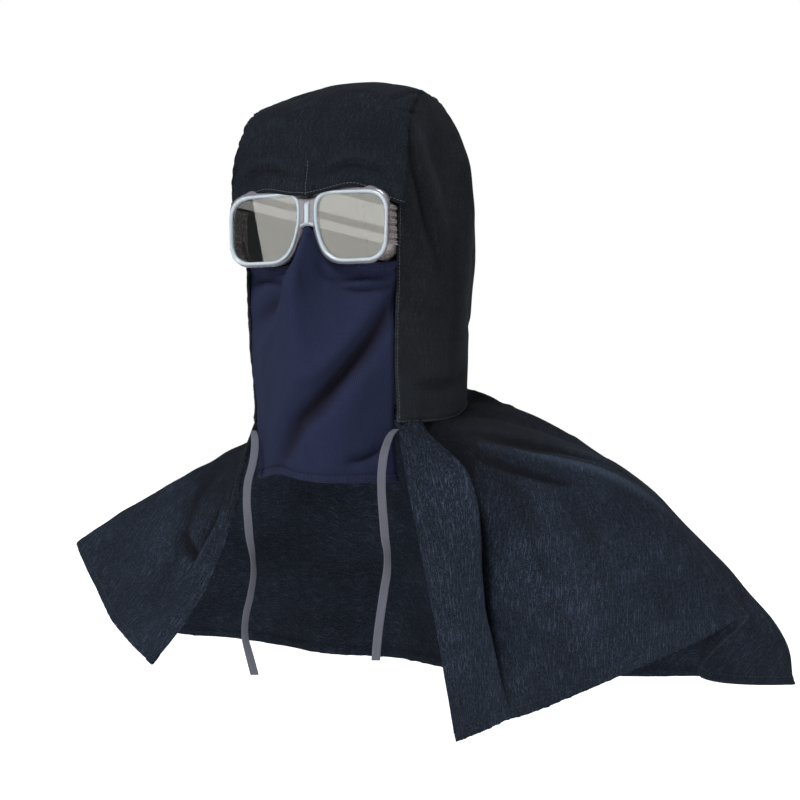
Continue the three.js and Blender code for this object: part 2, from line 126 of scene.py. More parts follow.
# Drawstring ends: points down the middle of each tape and the bearing of its width
LEFT_TAPE = table(
    ("x", "y", "z", "turn"),
    (63.5, -82, -284, 60),
    (63.5, -93, -289, 50),
    (63, -102, -301, 30),
    (63, -107, -317, 15),
    (63.5, -108, -333, 15),
    (64.5, -107, -351, 20),
    (65.5, -106, -366, 35),
    (67, -105, -379, 60),
    (67, -106, -391, 45),
    (66, -110, -408, 30),
    (65, -115, -428, 25),
    (64.5, -118, -442, 25),
    (64, -120, -457, 25),
)
RIGHT_TAPE = table(
    ("x", "y", "z", "turn"),
    (-58, -88, -286, -20),
    (-53, -96, -290, 0),
    (-50, -101, -299, 8),
    (-51, -103, -312, 10),
    (-54, -105, -326, 10),
    (-55, -105, -340, 10),
    (-55, -103, -356, 25),
    (-54, -102, -371, 55),
    (-52, -101, -386, 80),
    (-51, -101, -400, 75),
    (-52.5, -103, -415, 65),
    (-55, -106, -431, 65),
    (-56, -107, -445, 65),
    (-53.5, -105, -460, 50),
    (-48.5, -104, -478, 30),
)
TAPE = Settings(width=6.6, wall=1.0, steps=14, wave=22, wave_rise=0.25, squareness=6, least=0.02)

# Curves through tables


def through(column, t):
    """A smooth curve through a column of numbers, or of arrays, with t counted in rows."""
    last = len(column) - 1
    t = np.asarray(t, float)
    i = np.clip(np.floor(t).astype(int), 0, last - 1)
    f = t - i

    def value(k):
        k = np.clip(k, 0, last)
        return column[k] if column.ndim == 1 else np.take_along_axis(column, k[None], axis=0)[0]

    a, b, c, d = value(i - 1), value(i), value(i + 1), value(i + 2)
    slope_b = (c - a) / np.where(i > 0, 2, 1)
    slope_c = (d - b) / np.where(i + 2 <= last, 2, 1)
    f2, f3 = f * f, f * f * f
    places = (2 * f3 - 3 * f2 + 1) * b + (3 * f2 - 2 * f3) * c
    return places + (f3 - 2 * f2 + f) * slope_b + (f3 - f2) * slope_c


def bell(distance, width):
    return np.exp(-((distance / width) ** 2))


def lerp(a, b, s):
    return a + (b - a) * s


def ease(x, low, high):
    """0 below low, 1 above high and smooth between."""
    s = np.clip((x - low) / (high - low), 0, 1)
    return s * s * (3 - 2 * s)


def fade(x, low, high):
    return 1 - ease(x, low, high)


def unit(vectors):
    return vectors / np.maximum(np.linalg.norm(vectors, axis=-1, keepdims=True), 1e-9)


def points_of(*parts):
    """Points from their coordinates."""
    return np.stack(np.broadcast_arrays(*parts), axis=-1)


def paired(a, b):
    """Two coordinates as arrays of one shape."""
    return np.broadcast_arrays(np.asarray(a, float), np.asarray(b, float))


def station(name):
    return SEAM.at.index(name)


# Surfaces of the hood, in millimetres


def seam_point(t):
    return points_of(*(through(SEAM[axis], t) for axis in "xyz"))


def centre_point(t, across):
    """The centre panel: t counts seam rows from the brow to the nape, across runs from -1 to 1."""
    step = 0.01
    along = seam_point(t + step) - seam_point(t - step)
    out = unit(points_of(0.0, -along[..., 2], along[..., 1]))
    height = through(SEAM.rise, t) * (1 - np.abs(across) ** CROWN_FLATNESS)
    chord = seam_point(t)
    chord[..., 0] *= across
    return chord + out * height[..., None]


def brow_start(across):
    """The brow edge's place in seam rows, which rises over each lens."""
    a = np.abs(across)
    lift = BROW.arch_lift * bell(a - BROW.arch_at, BROW.arch_width)
    lift = lift + BROW.middle_lift * bell(a, BROW.middle_width)
    brow, forehead = station("brow"), station("forehead")
    return brow + lift / (SEAM.z[forehead] - SEAM.z[brow])


def side_point(up, back):
    """The left side panel: up runs from neck to crown, back from the face edge to the nape seam."""
    front_top, back_top, nape = station("front_top"), station("back_top"), station("nape")
    up, back = paired(up, back)
    low, high = np.zeros_like(up), np.ones_like(up)

    def front(s):
        return seam_point(s * front_top)

    def rear(s):
        return seam_point(lerp(nape, back_top, s))

    u, b = up[..., None], back[..., None]
    neck = lerp(front(low), rear(low), b)
    neck[..., 2] = lerp(front(low)[..., 2], rear(low)[..., 2], back ** SIDE_BOW.neck_climb)
    top = seam_point(lerp(front_top, back_top, back))
    corners = lerp(lerp(front(low), rear(low), b), lerp(front(high), rear(high), b), u)
    point = lerp(front(up), rear(up), b) + lerp(neck, top, u) - corners
    peak = SIDE_BOW.face / (SIDE_BOW.face + SIDE_BOW.back)
    hump = (back / peak) ** SIDE_BOW.face * ((1 - back) / (1 - peak)) ** SIDE_BOW.back
    roll = np.maximum(1 - up ** SIDE_BOW.crown_roll, 0) ** SIDE_BOW.crown_edge
    point[..., 0] += (SIDE_BOW.neck + SIDE_BOW.gain * up) * roll * hump
    return point


def neck_point(share):
    """The neck seam from the left front corner round the back to the right front corner."""
    share = np.asarray(share, float)
    mirror = np.where(share > 0.5, -1.0, 1.0)
    near = np.minimum(share, 1 - share)
    side = side_point(np.zeros_like(near), np.clip(near / NECK_SIDE_SHARE, 0, 1))
    nape = np.full_like(near, station("nape"))
    strip = centre_point(nape, np.clip((0.5 - near) / (0.5 - NECK_SIDE_SHARE), 0, 1))
    point = np.where((near <= NECK_SIDE_SHARE)[..., None], side, strip)
    point[..., 0] *= mirror
    return point


def cape_point(t, down):
    """The cape: t counts cape rows, down runs from the neck seam to the hem."""
    t, down = paired(t, down)
    neck = neck_point(through(CAPE.neck, t))
    neck_turn = np.degrees(np.arctan2(neck[..., 0], -neck[..., 1])) % 360
    parts = ("shoulder", "arm", "hem")
    neck_out = np.hypot(neck[..., 0], neck[..., 1])
    outs = np.stack([neck_out] + [through(CAPE[p + "_out"], t) for p in parts])
    heights = np.stack([neck[..., 2]] + [through(CAPE[p + "_z"], t) for p in parts])
    out = through(outs, down * len(parts))
    bearing = np.radians(lerp(neck_turn, through(CAPE.turn, t), down))
    z = through(heights, down * len(parts))
    return points_of(out * np.sin(bearing), -out * np.cos(bearing), z)


def mask_point(across, down):
    """The mask: across runs from -1 to 1, down from its top edge to its hem."""
    across, down = paired(across, down)
    near_x = across * MASK_TOP.half
    top_z = MASK_TOP.cheek + MASK_TOP.nose_peak * bell(near_x, MASK_TOP.nose_width)
    top_z = top_z + MASK_TOP.seam_lift * np.abs(across) ** 4
    hem_lift = bell(near_x - MASK_HEM.lift_at, MASK_HEM.lift_width)
    hem_z = MASK_HEM.z + MASK_HEM.lift * hem_lift
    z = lerp(top_z, hem_z, down)
    row = np.clip(np.searchsorted(-MASK.z, -z), 1, len(MASK.z) - 1)
    t = row - (z - MASK.z[row]) / (MASK.z[row - 1] - MASK.z[row])
    columns = ("half", "edge", "front", "nose", "spread")
    half, edge, front, nose, spread = (through(MASK[c], t) for c in columns)
    x = across * half
    y = edge + (front - edge) * (1 - across**2) - nose * bell(x, spread)
    return points_of(x, y, z)


def right_side_point(up, back):
    return side_point(up, back) * [-1, 1, 1]


def centre_from_brow(f, across):
    """The centre panel by its own share f, from the brow edge to the nape."""
    f, across = paired(f, across)
    return centre_point(lerp(brow_start(across), station("nape"), f), across)


# Folds: a line in a piece's own two coordinates from one place by way of a second to a third,
# with its height (a furrow where negative) and half width in millimetres
FOLD_STEPS, FOLD_TAPER = 25, 0.7
SWELL_LENGTHS = (0.7, 1.6)
FOLD_COLUMNS = ("at", "u0", "v0", "u1", "v1", "u2", "v2", "height", "width")
CENTRE_FOLDS = table(
    FOLD_COLUMNS,
    ("left_brow_wrinkle", 0.02, 0.12, 0.052, 0.42, 0.037, 0.93, -1.7, 2.6),
    ("left_brow_roll", 0.04, 0.12, 0.074, 0.42, 0.06, 0.95, 1.4, 4.2),
    ("right_brow_wrinkle", 0.023, -0.09, 0.046, -0.4, 0.047, -0.9, -1.7, 2.6),
    ("right_brow_roll", 0.043, -0.1, 0.068, -0.4, 0.066, -0.95, 1.3, 4.2),
    ("crown_dip", 0.255, -0.45, 0.22, -0.15, 0.15, 0.12, -1.8, 8),
    ("crown_slope", 0.34, -0.78, 0.27, -0.5, 0.21, -0.2, -5.0, 15),
    ("crown_roll", 0.2, -0.85, 0.17, -0.5, 0.13, -0.2, 1.6, 9),
    ("crown_swell", 0.27, 0.1, 0.25, 0.4, 0.2, 0.7, 1.6, 12),
    ("left_corner_tuck", 0.33, 0.98, 0.265, 0.92, 0.2, 0.7, -2.2, 3.2),
    ("left_corner_roll", 0.24, 0.99, 0.22, 0.9, 0.17, 0.7, 1.6, 4),
    ("occiput_roll", 0.7, -0.7, 0.72, 0, 0.69, 0.7, 1.4, 8),
    ("nape_furrow", 0.84, -0.8, 0.86, 0, 0.83, 0.8, -1.8, 7),
)
SIDE_FOLDS = table(
    FOLD_COLUMNS,
    ("corner_hollow", 0.9, 0.0, 0.45, 0.13, 0.36, 0.34, -4.2, 6),
    ("corner_roll", 0.94, 0.06, 0.56, 0.2, 0.42, 0.42, 2.2, 8),
    ("temple_tuck", 0.87, 0.0, 0.82, 0.03, 0.78, 0.11, -1.8, 2.4),
    ("upper_tuck", 0.94, 0.0, 0.91, 0.05, 0.9, 0.12, -1.6, 2.4),
    ("ear_roll", 0.6, 0.55, 0.4, 0.66, 0.14, 0.62, 2.2, 10),
    ("ear_hollow", 0.56, 0.4, 0.34, 0.5, 0.1, 0.46, -2.2, 9),
    ("jaw_wrinkle", 0.30, 0.02, 0.25, 0.2, 0.27, 0.4, -1.2, 5),
    ("neck_wrinkle", 0.1, 0.1, 0.08, 0.4, 0.13, 0.75, -1.5, 5),
    ("nape_wrinkle", 0.22, 0.95, 0.26, 0.75, 0.2, 0.5, -1.6, 5),
)
# A wide bulge at mid height, which is no fold and gets no painted shade or highlight
SIDE_SWELL = table(
    FOLD_COLUMNS,
    ("ear_swell", 0.8, 0.54, 0.68, 0.62, 0.42, 0.67, 6.5, 24),
)
MASK_FOLDS = table(
    FOLD_COLUMNS,
    ("long_diagonal", 1.04, 0.1, 0.78, 0.5, -0.6, 1.02, -10.0, 8.0),
    ("diagonal_roll", 0.8, 0.16, 0.5, 0.45, -0.7, 0.88, 4.2, 9),
    ("nose_ridge", 0.06, 0.16, -0.25, 0.3, -0.8, 0.43, 4.6, 8),
    ("nose_hollow", -0.16, 0.12, -0.45, 0.18, -0.95, 0.28, -5.0, 8),
    ("under_left_lens", 0.13, 0.07, 0.34, 0.085, 0.96, 0.052, -4.4, 3.0),
    ("left_lens_roll", 0.22, 0.085, 0.5, 0.11, 0.97, 0.075, 1.8, 2.6),
    ("second_left_crease", 0.27, 0.085, 0.67, 0.16, 1.0, 0.1, -3.6, 3.0),
    ("under_right_lens", -0.9, 0.07, -0.5, 0.04, -0.1, 0.15, -3.6, 3.2),
    ("lower_left", 0.5, 0.91, 0.78, 0.9, 0.94, 0.82, -4.2, 4),
    ("tape_pull", 0.8, 0.95, 0.88, 0.88, 0.97, 0.78, 1.6, 3),
    ("left_jaw_swell", 0.75, 0.45, 0.62, 0.65, 0.4, 0.85, 2.2, 12),
)
CAPE_FOLDS = table(
    FOLD_COLUMNS,
    ("crease_edge", 2.15, 0.0, 1.95, 0.5, 1.95, 0.98, 2.0, 3),
    ("crease_furrow", 3.0, -0.02, 2.5, 0.42, 2.75, 0.96, -7, 8),
    ("neck_tuck", 3.5, -0.02, 3.3, 0.15, 3.0, 0.36, -7, 10),
    ("shoulder_roll", 4.4, 0.14, 5.63, 0.31, 5.95, 0.68, 6.0, 4.6),
    ("under_roll", 3.8, 0.2, 4.5, 0.3, 5.1, 0.46, -4.0, 5),
    ("above_roll", 5.0, 0.08, 6.2, 0.25, 6.6, 0.55, -3.5, 8),
    ("first_hang", 3.99, 0.28, 3.8, 0.6, 3.72, 0.98, -1.9, 7),
    ("second_hang", 4.7, 0.4, 4.4, 0.7, 4.35, 1.0, -1.7, 8),
    ("between_hang", 4.35, 0.32, 4.1, 0.65, 4.03, 0.98, 1.0, 8),
    ("third_hang", 5.3, 0.48, 5.0, 0.76, 4.95, 1.0, -1.3, 9),
    ("front_pull", 0.5, 0.08, 0.8, 0.3, 0.6, 0.7, -1.2, 8),
    ("right_dent", 19.25, 0.63, 19.75, 0.665, 20.3, 0.67, -6, 4.5),
    ("right_band_edge", 21.56, 0.34, 21.15, 0.48, 20.95, 0.66, 3.2, 4),
    ("right_band_shade", 20.05, 0.36, 19.9, 0.5, 19.8, 0.62, -4.5, 6),
    ("right_diagonal", 18.6, 0.3, 19.2, 0.55, 19.9, 0.95, -2.6, 11),
)
# Where the cape's outline rises to the neck seam and eases off, which is no fold and gets no painted shade or
# highlight
CAPE_SWELL = table(
    FOLD_COLUMNS,
    ("neck_rise", 10.8, 0.05, 10.1, 0.08, 9.7, 0.13, 5.0, 9),
    ("shoulder_ease", 9.8, 0.19, 9.25, 0.24, 8.8, 0.3, -4.0, 11),
)


def bend(a, b, c, s):
    """A curve that leaves a towards b and ends at c."""
    return lerp(lerp(a, b, s), lerp(b, c, s), s)


def fold_heights(points, place, folds):
    """How far a table's folds push each point out, by its distance to each fold's line."""
    total = np.zeros(points.shape[:-1])
    s = np.linspace(0, 1, FOLD_STEPS)
    for k in range(len(folds.at)):
        line = place(*(bend(*(folds[c + n][k] for n in "012"), s) for c in "uv"))
        away = np.full(total.shape, 1e9)
        along = np.zeros(total.shape)
        for i in range(len(s) - 1):
            run = line[i + 1] - line[i]
            share = np.clip((points - line[i]) @ run / (run @ run), 0, 1)
            gap = np.linalg.norm(points - line[i] - share[..., None] * run, axis=-1)
            along = np.where(gap < away, (i + share) / (len(s) - 1), along)
            away = np.minimum(gap, away)
        total += folds.height[k] * bell(away, folds.width[k]) * np.sin(math.pi * along) ** FOLD_TAPER
    return total


def unevenness(points, seed, wavelength, height, waves=9):
    """A smooth random swell of the cloth, from a few plane waves."""
    draw = np.random.default_rng(seed)
    total = np.zeros(points.shape[:-1])
    for _ in range(waves):
        direction = unit(draw.normal(size=3))
        length = wavelength * draw.uniform(*SWELL_LENGTHS)
        total += np.sin(points @ direction * (2 * math.pi / length) + draw.uniform(0, 2 * math.pi))
    return height * total / math.sqrt(waves / 2)


# Cloth walls: the cloth's own numbers, then how its sewn edges and its turned hems are built

EDGE_STEPS = np.array([0, 0.3, 0.7, 1.3, 2.0, 2.8, 3.8, 5, 6.5, 8.5, 11])
EDGE_CLEAR = 1.2
DENIM = Settings(wall=1.3, hem_rise=0.35, pinch=0.35, lap=6.0)
KNIT = Settings(wall=1.2, hem=5.5, hem_rise=1.1, stitch=6.0, pinch=0.9)
SEWN = Settings(
    stitch=2.2, slope=1.5, lap_rise=0.45, groove=1.0, groove_width=0.9, allowance=9.0, allowance_rise=0.8,
)
TURNED = Settings(slope=1.0, inner_slope=0.6, inner_rise=1.0, fold=1.3, thin=0.12)
PINCH_WIDTH, BROW_STITCH, CAPE_STITCH = 0.8, 3.0, 7.4
GATHER_LENGTHS, GATHER_EVEN = (7, 19), 2.2


def spaced(count, length, extra=()):
    """Places from 0 to 1 along a run of cloth of that length, closer together at both edges."""
    edge = EDGE_STEPS / length
    even = np.linspace(0, 1, count + 1)
    clear = edge[-1] * EDGE_CLEAR
    kept = even[(even > clear) & (even < 1 - clear)]
    return np.unique(np.concatenate([edge, kept, 1 - edge, np.asarray(extra, float)]))


def grid_normals(grid):
    return unit(np.cross(unit(np.gradient(grid, axis=1)), unit(np.gradient(grid, axis=0))))


def from_side(grid, side):
    """The grid turned so that one of its sides is its first row."""
    turned = np.swapaxes(grid, 0, 1) if "column" in side else grid
    return turned[::-1] if "last" in side else turned


def to_grid(values, side):
    """Undoes from_side for one value per point."""
    values = values[::-1] if "last" in side else values
    return np.swapaxes(values, 0, 1) if "column" in side else values


def run_lengths(grid):
    """Distance of each point from the grid's first row, measured over the cloth."""
    steps = np.linalg.norm(np.diff(grid, axis=0), axis=-1)
    return np.concatenate([np.zeros((1, grid.shape[1])), np.cumsum(steps, axis=0)])


def side_lengths(grid):
    """Distance of each point from the grid's first column."""
    return run_lengths(np.swapaxes(grid, 0, 1)).T


def edge_distance(grid, side):
    return to_grid(run_lengths(from_side(grid, side)), side)


def pucker(grid, side, seed, height, reach=9, waves=5):
    """Small gathers that run in from a sewn edge."""
    turned = from_side(grid, side)
    along = side_lengths(turned)
    draw = np.random.default_rng(seed)
    wave = np.zeros(along.shape)
    for _ in range(waves):
        wave += np.sin(2 * math.pi * along / draw.uniform(*GATHER_LENGTHS) + draw.uniform(0, 2 * math.pi))
    return to_grid(height * wave / GATHER_EVEN * np.exp(-run_lengths(turned) / reach), side)


def crumple(grid, swells, gathers):
    """A cloth's random swells and the gathers at its edges, added up."""
    swollen = sum(unevenness(grid, *swell) for swell in swells)
    return swollen + sum(pucker(grid, *gather) for gather in gathers)


def raised(grid, height):
    return grid + grid_normals(grid) * height[..., None]


def tucked(grid, side, run, depth, lift=0, reach=6):
    """A grid with one side drawn on by a run, under its neighbour by a depth and up, as a seam allowance."""
    onwards = unit(np.gradient(grid, axis=int("column" in side))) * (1 if "last" in side else -1)
    share = fade(edge_distance(grid, side), 0, reach)[..., None]
    return grid + share * (run * onwards - depth * grid_normals(grid) + np.array([0, 0, lift]))


class Cloth:
    """A cloth wall over a grid: its outer and inner faces, with sewn and turned edges."""

    def __init__(self, grid, cloth, edges):
        outer = np.full(grid.shape[:2], cloth.wall / 2)
        inner = outer.copy()
        thin = np.ones_like(outer)
        for side, kind in edges.items():
            d = edge_distance(grid, side)
            if kind == "seam":
                stitch, lap, allowance = SEWN.stitch, cloth.lap, SEWN.allowance
                outer += SEWN.lap_rise * fade(d, lap, lap + SEWN.slope)
                outer -= SEWN.groove * bell(d, SEWN.groove_width)
                inner += SEWN.allowance_rise * fade(d, allowance, allowance + SEWN.slope)
            else:
                stitch, hem = cloth.stitch, cloth.hem
                slope, within = TURNED.slope, TURNED.inner_slope
                outer += cloth.hem_rise * fade(d, hem - slope, hem + slope)
                inner += TURNED.inner_rise * fade(d, hem - within, hem + within)
                roundness = np.sqrt(1 - (1 - np.clip(d / TURNED.fold, 0, 1)) ** 2)
                thin *= lerp(TURNED.thin, 1, roundness)
            outer -= cloth.pinch * bell(d - stitch, PINCH_WIDTH)
        self.normal = grid_normals(grid)
        self.outer = grid + self.normal * (outer * thin)[..., None]
        self.inner = grid - self.normal * (inner * thin)[..., None]

    def line(self, side, distance=SEWN.stitch, lift=0.1, trim=(0.0, 1.0)):
        """A line over the outer face at a distance from one side, for a row of stitches."""
        turned = from_side(self.outer, side)
        normal = from_side(self.normal, side)
        run = run_lengths(turned)
        after = np.clip((run < distance).sum(axis=0), 1, len(turned) - 1)
        column = np.arange(turned.shape[1])
        low, high = run[after - 1, column], run[after, column]
        share = np.clip((distance - low) / np.maximum(high - low, 1e-6), 0, 1)[:, None]
        line = lerp(turned[after - 1, column], turned[after, column], share)
        line = line + lift * normal[after, column]
        first, last = (int(round(f * (len(line) - 1))) for f in trim)
        return line[first : last + 1]


def wall_faces(rows, columns):
    """The faces of a closed wall between two grids of points."""
    count = rows * columns
    at = np.arange(count).reshape(rows, columns)

    def faces(a, b, c, d):
        return points_of(a, b, c, d).reshape(-1, 4)

    corner = (at[:-1, :-1], at[:-1, 1:], at[1:, 1:], at[1:, :-1])
    quads = [faces(*corner), count + faces(*(corner[k] for k in (0, 3, 2, 1)))]
    for rim in (at[0, ::-1], at[-1, :], at[:, 0], at[::-1, -1]):
        quads.append(faces(rim[:-1], rim[1:], count + rim[1:], count + rim[:-1]))
    return np.concatenate(quads)


def set_chart(mesh, chart):
    """Writes one pair of numbers per point as the mesh's UV map."""
    loops = np.zeros(len(mesh.loops), np.int32)
    mesh.loops.foreach_get("vertex_index", loops)
    mesh.uv_layers.new(name="cloth").data.foreach_set("uv", chart[loops].astype(np.float32).ravel())


def set_painted_light(mesh, wear):
    """Stores painted light for each outer point, from -1 for full painted shade to 1 for full painted
    highlight.
    """
    wear = np.concatenate([np.clip(wear, -1, 1).ravel(), np.zeros(wear.size)])
    mesh.attributes.new("wear", "FLOAT", "POINT").data.foreach_set("value", wear.astype(np.float32))


def wall_mesh(name, outer, inner, chart):
    """A closed mesh between two grids of points, with the cloth's own flat chart as its UV map."""
    points = np.concatenate([outer.reshape(-1, 3), inner.reshape(-1, 3)]) * MM
    mesh = mesh_of(name, points, wall_faces(*outer.shape[:2]))
    set_chart(mesh, np.concatenate([chart.reshape(-1, 2)] * 2) * MM)
    return mesh


def mesh_of(name, points, faces):
    mesh = bpy.data.meshes.new(name)
    mesh.from_pydata(np.asarray(points).tolist(), [], np.asarray(faces).tolist())
    mesh.polygons.foreach_set("use_smooth", np.ones(len(mesh.polygons), bool))
    mesh.update()
    return mesh


def chart_of(grid):
    """Flat coordinates of a grid, in millimetres across and down, measured from its middle."""
    across = side_lengths(grid)
    middle = grid.shape[1] // 2
    return points_of(across - across[:, middle : middle + 1], -run_lengths(grid))


def cape_chart(grid, neck_radius=70):
    """The cape's flat pattern: each half is a sector with its grain along the front edge."""
    down = run_lengths(grid)
    hem = side_lengths(grid[-1:])[0]
    radius = neck_radius + down
    near = np.minimum(hem, hem[-1] - hem)
    angle = (near / (neck_radius + down[-1].mean()))[None, :]
    side = np.where(hem > hem[-1] / 2, -1, 1)[None, :]
    return points_of(radius * np.sin(angle) * side, -radius * np.cos(angle))


def link(name, data):
    """A new object in the scene."""
    made = bpy.data.objects.new(name, data)
    bpy.context.scene.collection.objects.link(made)
    return made


def piece(name, mesh, material, slot, *nodes):
    """A finished piece that moves with the hood and stands for its solids."""
    made = link(name, mesh)
    if material is not None:
        mesh.materials.append(material)
    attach(made, "root")
    if nodes:
        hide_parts(*nodes)
    return made


def sewn(name, grid, cloth, edges, wear, look, slot, node, chart=chart_of):
    """A piece of cloth over a grid, and its wall for the stitches to lie on."""
    wall = Cloth(grid, cloth, edges)
    mesh = wall_mesh(name, wall.outer, wall.inner, chart(grid))
    # The painted shade and highlight, stored for the finish to read
    set_painted_light(mesh, wear)
    return piece(name, mesh, look, slot, node), wall


# Node trees


class Wire:
    """One output socket, with arithmetic that adds Math nodes to its tree."""

    def __init__(self, nodes, socket):
        self.nodes = nodes
        self.socket = socket

    def math(self, operation, *values):
        return self.nodes.one("ShaderNodeMath", *values, operation=operation)

    def __add__(self, other):
        return self.math("ADD", self, other)

    def __sub__(self, other):
        return self.math("SUBTRACT", self, other)

    def __rsub__(self, other):
        return self.math("SUBTRACT", other, self)

    def __mul__(self, other):
        return self.math("MULTIPLY", self, other)

    __radd__, __rmul__ = __add__, __mul__


class Nodes:
    """A node tree, with one method that adds any node."""

    def __init__(self, tree):
        self.tree = tree

    def add(self, kind, *values, **named):
        """Adds a node and gives its outputs by name. Plain values are its inputs in order, names in small
        letters are its settings, and names with a capital are inputs, with underscores for spaces."""
        node = self.tree.nodes.new(kind)
        for name in [name for name in named if name[0].islower()]:
            setattr(node, name, named.pop(name))
        sockets = {s.name.replace(" ", "_"): s for s in list(node.inputs)[::-1] if s.enabled}
        sockets.update(enumerate(node.inputs))
        for name, value in (*enumerate(values), *named.items()):
            for given in value if isinstance(value, list) else [value]:
                if isinstance(given, Wire):
                    self.tree.links.new(given.socket, sockets[name])
                elif sockets[name].type == "RGBA":
                    sockets[name].default_value = (*given, 1.0)
                else:
                    sockets[name].default_value = given
        return {out.name: Wire(self, out) for out in node.outputs if out.enabled}

    def one(self, kind, *values, **named):
        """Adds a node and gives its first output."""
        return next(iter(self.add(kind, *values, **named).values()))


class Finish(Nodes):
    """A material with one principled shader."""

    def __init__(self, name):
        self.material = bpy.data.materials.new(name)
        self.material.use_nodes = True
        super().__init__(self.material.node_tree)
        self.tree.nodes.clear()

    def done(self, **sockets):
        """Adds the shader with its inputs."""
        self.add("ShaderNodeOutputMaterial", Surface=self.one("ShaderNodeBsdfPrincipled", **sockets))
        return self.material

    def flat(self):
        return self.one("ShaderNodeUVMap", uv_map="cloth")

    def in_mm(self, vector):
        return self.one("ShaderNodeVectorMath", operation="SCALE", Vector=vector, Scale=1 / MM)

    def chart(self):
        """The cloth's flat coordinates in millimetres, whole and in parts."""
        chart = self.in_mm(self.flat())
        parts = self.parts(chart)
        return chart, parts["X"], parts["Y"]

    def place(self):
        """The place on the object in millimetres."""
        return self.in_mm(self.add("ShaderNodeTexCoord")["Object"])

    def parts(self, vector):
        return self.add("ShaderNodeSeparateXYZ", vector)

    def grain(self, vector, across, along, detail=2.0, seed=0.0):
        """Noise whose cells measure across by along millimetres."""
        scale = (1 / across, 1 / along, 1 / across)
        sized = self.one("ShaderNodeMapping", Vector=vector, Location=(seed,) * 3, Scale=scale)
        sizes = dict(Scale=1.0, Detail=detail, Roughness=0.55)
        return self.one("ShaderNodeTexNoise", Vector=sized, **sizes)

    def wave(self, value, length):
        """A wave from 0 to 1 along a value in millimetres."""
        return value.math("SINE", value * (2 * math.pi / length)) * 0.5 + 0.5

    def between(self, low, high, value):
        """0 where a value is below low, 1 above high."""
        limits = dict(From_Min=low, From_Max=high)
        return self.one("ShaderNodeMapRange", interpolation_type="SMOOTHSTEP", Value=value, **limits)

    def blend(self, share, first, second):
        """One colour turning into another."""
        return self.one("ShaderNodeMix", data_type="RGBA", Factor=share, A=first, B=second)

    def paint_fold_light(self, colour, hollow, hollow_share, proud, proud_share):
        """Painted light: a colour that turns to a painted shade colour where the stored painted light is
        negative, as in a fold's hollow, and to a painted highlight colour where it is positive, as on a ridge.
        """
        wear = self.add("ShaderNodeAttribute", attribute_name="wear")["Fac"]
        colour = self.blend(self.between(0, 1, -1.0 * wear) * hollow_share, colour, hollow)
        return self.blend(self.between(0, 1, wear) * proud_share, colour, proud)

    def bump(self, height, distance, strength=0.6):
        return self.one("ShaderNodeBump", Height=height, Distance=distance, Strength=strength)


DENIM_GROUND = (0.0044, 0.0053, 0.0074)
DENIM_LIGHT = (0.0078, 0.0095, 0.0136)
DENIM_WEFT = (0.019, 0.024, 0.034)
DENIM_SLUB = (0.066, 0.090, 0.124)
# The painted shade colour for fold hollows, a little browner
DENIM_HOLLOW_SHADE = (0.0040, 0.0037, 0.0042)
TWILL = Settings(lean=0.55, pitch=1.15)


def denim_finish(name, slubs, tint):
    """Black indigo twill with lighter slubs along the warp."""
    look = Finish(name)
    ground, light, weft_yarn, slub_yarn = (
        tuple(c * t for c, t in zip(colour, tint))
        for colour in (DENIM_GROUND, DENIM_LIGHT, DENIM_WEFT, DENIM_SLUB)
    )
    chart, x, y = look.chart()
    ridges = look.wave(x + y * TWILL.lean, TWILL.pitch)
    slub = look.grain(chart, 0.34, 3.8, 2.5)
    fine = look.grain(chart, 0.3, 1.4, 2.0, 31.0)
    long_slub = look.grain(chart, 0.75, 13.0, 1.5, 113.0)
    weft = look.grain(chart, 3.0, 0.6, 2.0, 57.0)
    cluster = look.grain(chart, 45.0, 60.0, 2.0, 83.0)
    streak = look.between(0.48, 0.74, slub) * 0.5 + look.between(0.48, 0.74, fine) * 0.4
    streak = streak * 0.85 + look.between(0.5, 0.72, long_slub) * 0.3
    streak = streak * (0.7 + 0.6 * look.between(0.35, 0.7, cluster)) * slubs
    dark = look.blend(cluster, ground, light)
    yarn = look.blend(look.between(0.4, 0.7, weft) * 0.5, dark, weft_yarn)
    colour = look.blend(streak * (0.6 + 0.4 * ridges), yarn, slub_yarn)
    # The colour takes painted shade in hollows and a painted highlight of slub colour on ridges
    return look.done(
        Base_Color=look.paint_fold_light(colour, DENIM_HOLLOW_SHADE, 0.75, slub_yarn, 0.3),
        Roughness=0.96 - 0.1 * streak,
        Normal=look.bump(ridges * 0.6 + streak * 0.6 + fine * 0.6 + weft * 0.4, 0.00022),
        Specular_IOR_Level=0.06,
    )


KNIT_DEEP = ((0.0100, 0.0125, 0.0300), (0.0140, 0.0170, 0.0400))
KNIT_LIT = ((0.0200, 0.0250, 0.0580), (0.0245, 0.0300, 0.0680))
# The painted shade colour for the knit's fold hollows
KNIT_HOLLOW_SHADE = (0.0088, 0.0072, 0.0125)
RIB = Settings(wale=1.5, lean=0.8, loop=1.2)


def knit_finish():
    """Navy rib knit: fine wales that run down, made of small stitches."""
    look = Finish("navy_knit")
    chart, x, y = look.chart()
    wale = look.wave(x, RIB.wale)
    lean = x.math("PINGPONG", x, RIB.wale / 2)
    loop = look.wave(y + lean * RIB.lean, RIB.loop)
    fluff = look.grain(chart, 0.8, 2.4, 3.0)
    cloudy = look.grain(chart, 26.0, 40.0, 2.0, 11.0)
    deep = look.blend(cloudy, *KNIT_DEEP)
    lit = look.blend(cloudy, *KNIT_LIT)
    colour = look.blend(wale * 0.6 + fluff * 0.5 - 0.1, deep, lit)
    # The colour takes painted shade in hollows and a painted highlight of the lit navy on ridges
    return look.done(
        Base_Color=look.paint_fold_light(colour, KNIT_HOLLOW_SHADE, 0.8, lit, 0.25),
        Roughness=0.9 + 0.08 * fluff,
        Normal=look.bump(wale + loop * 0.35 + fluff * 0.5, 0.0004),
        Specular_IOR_Level=0.08,
    )


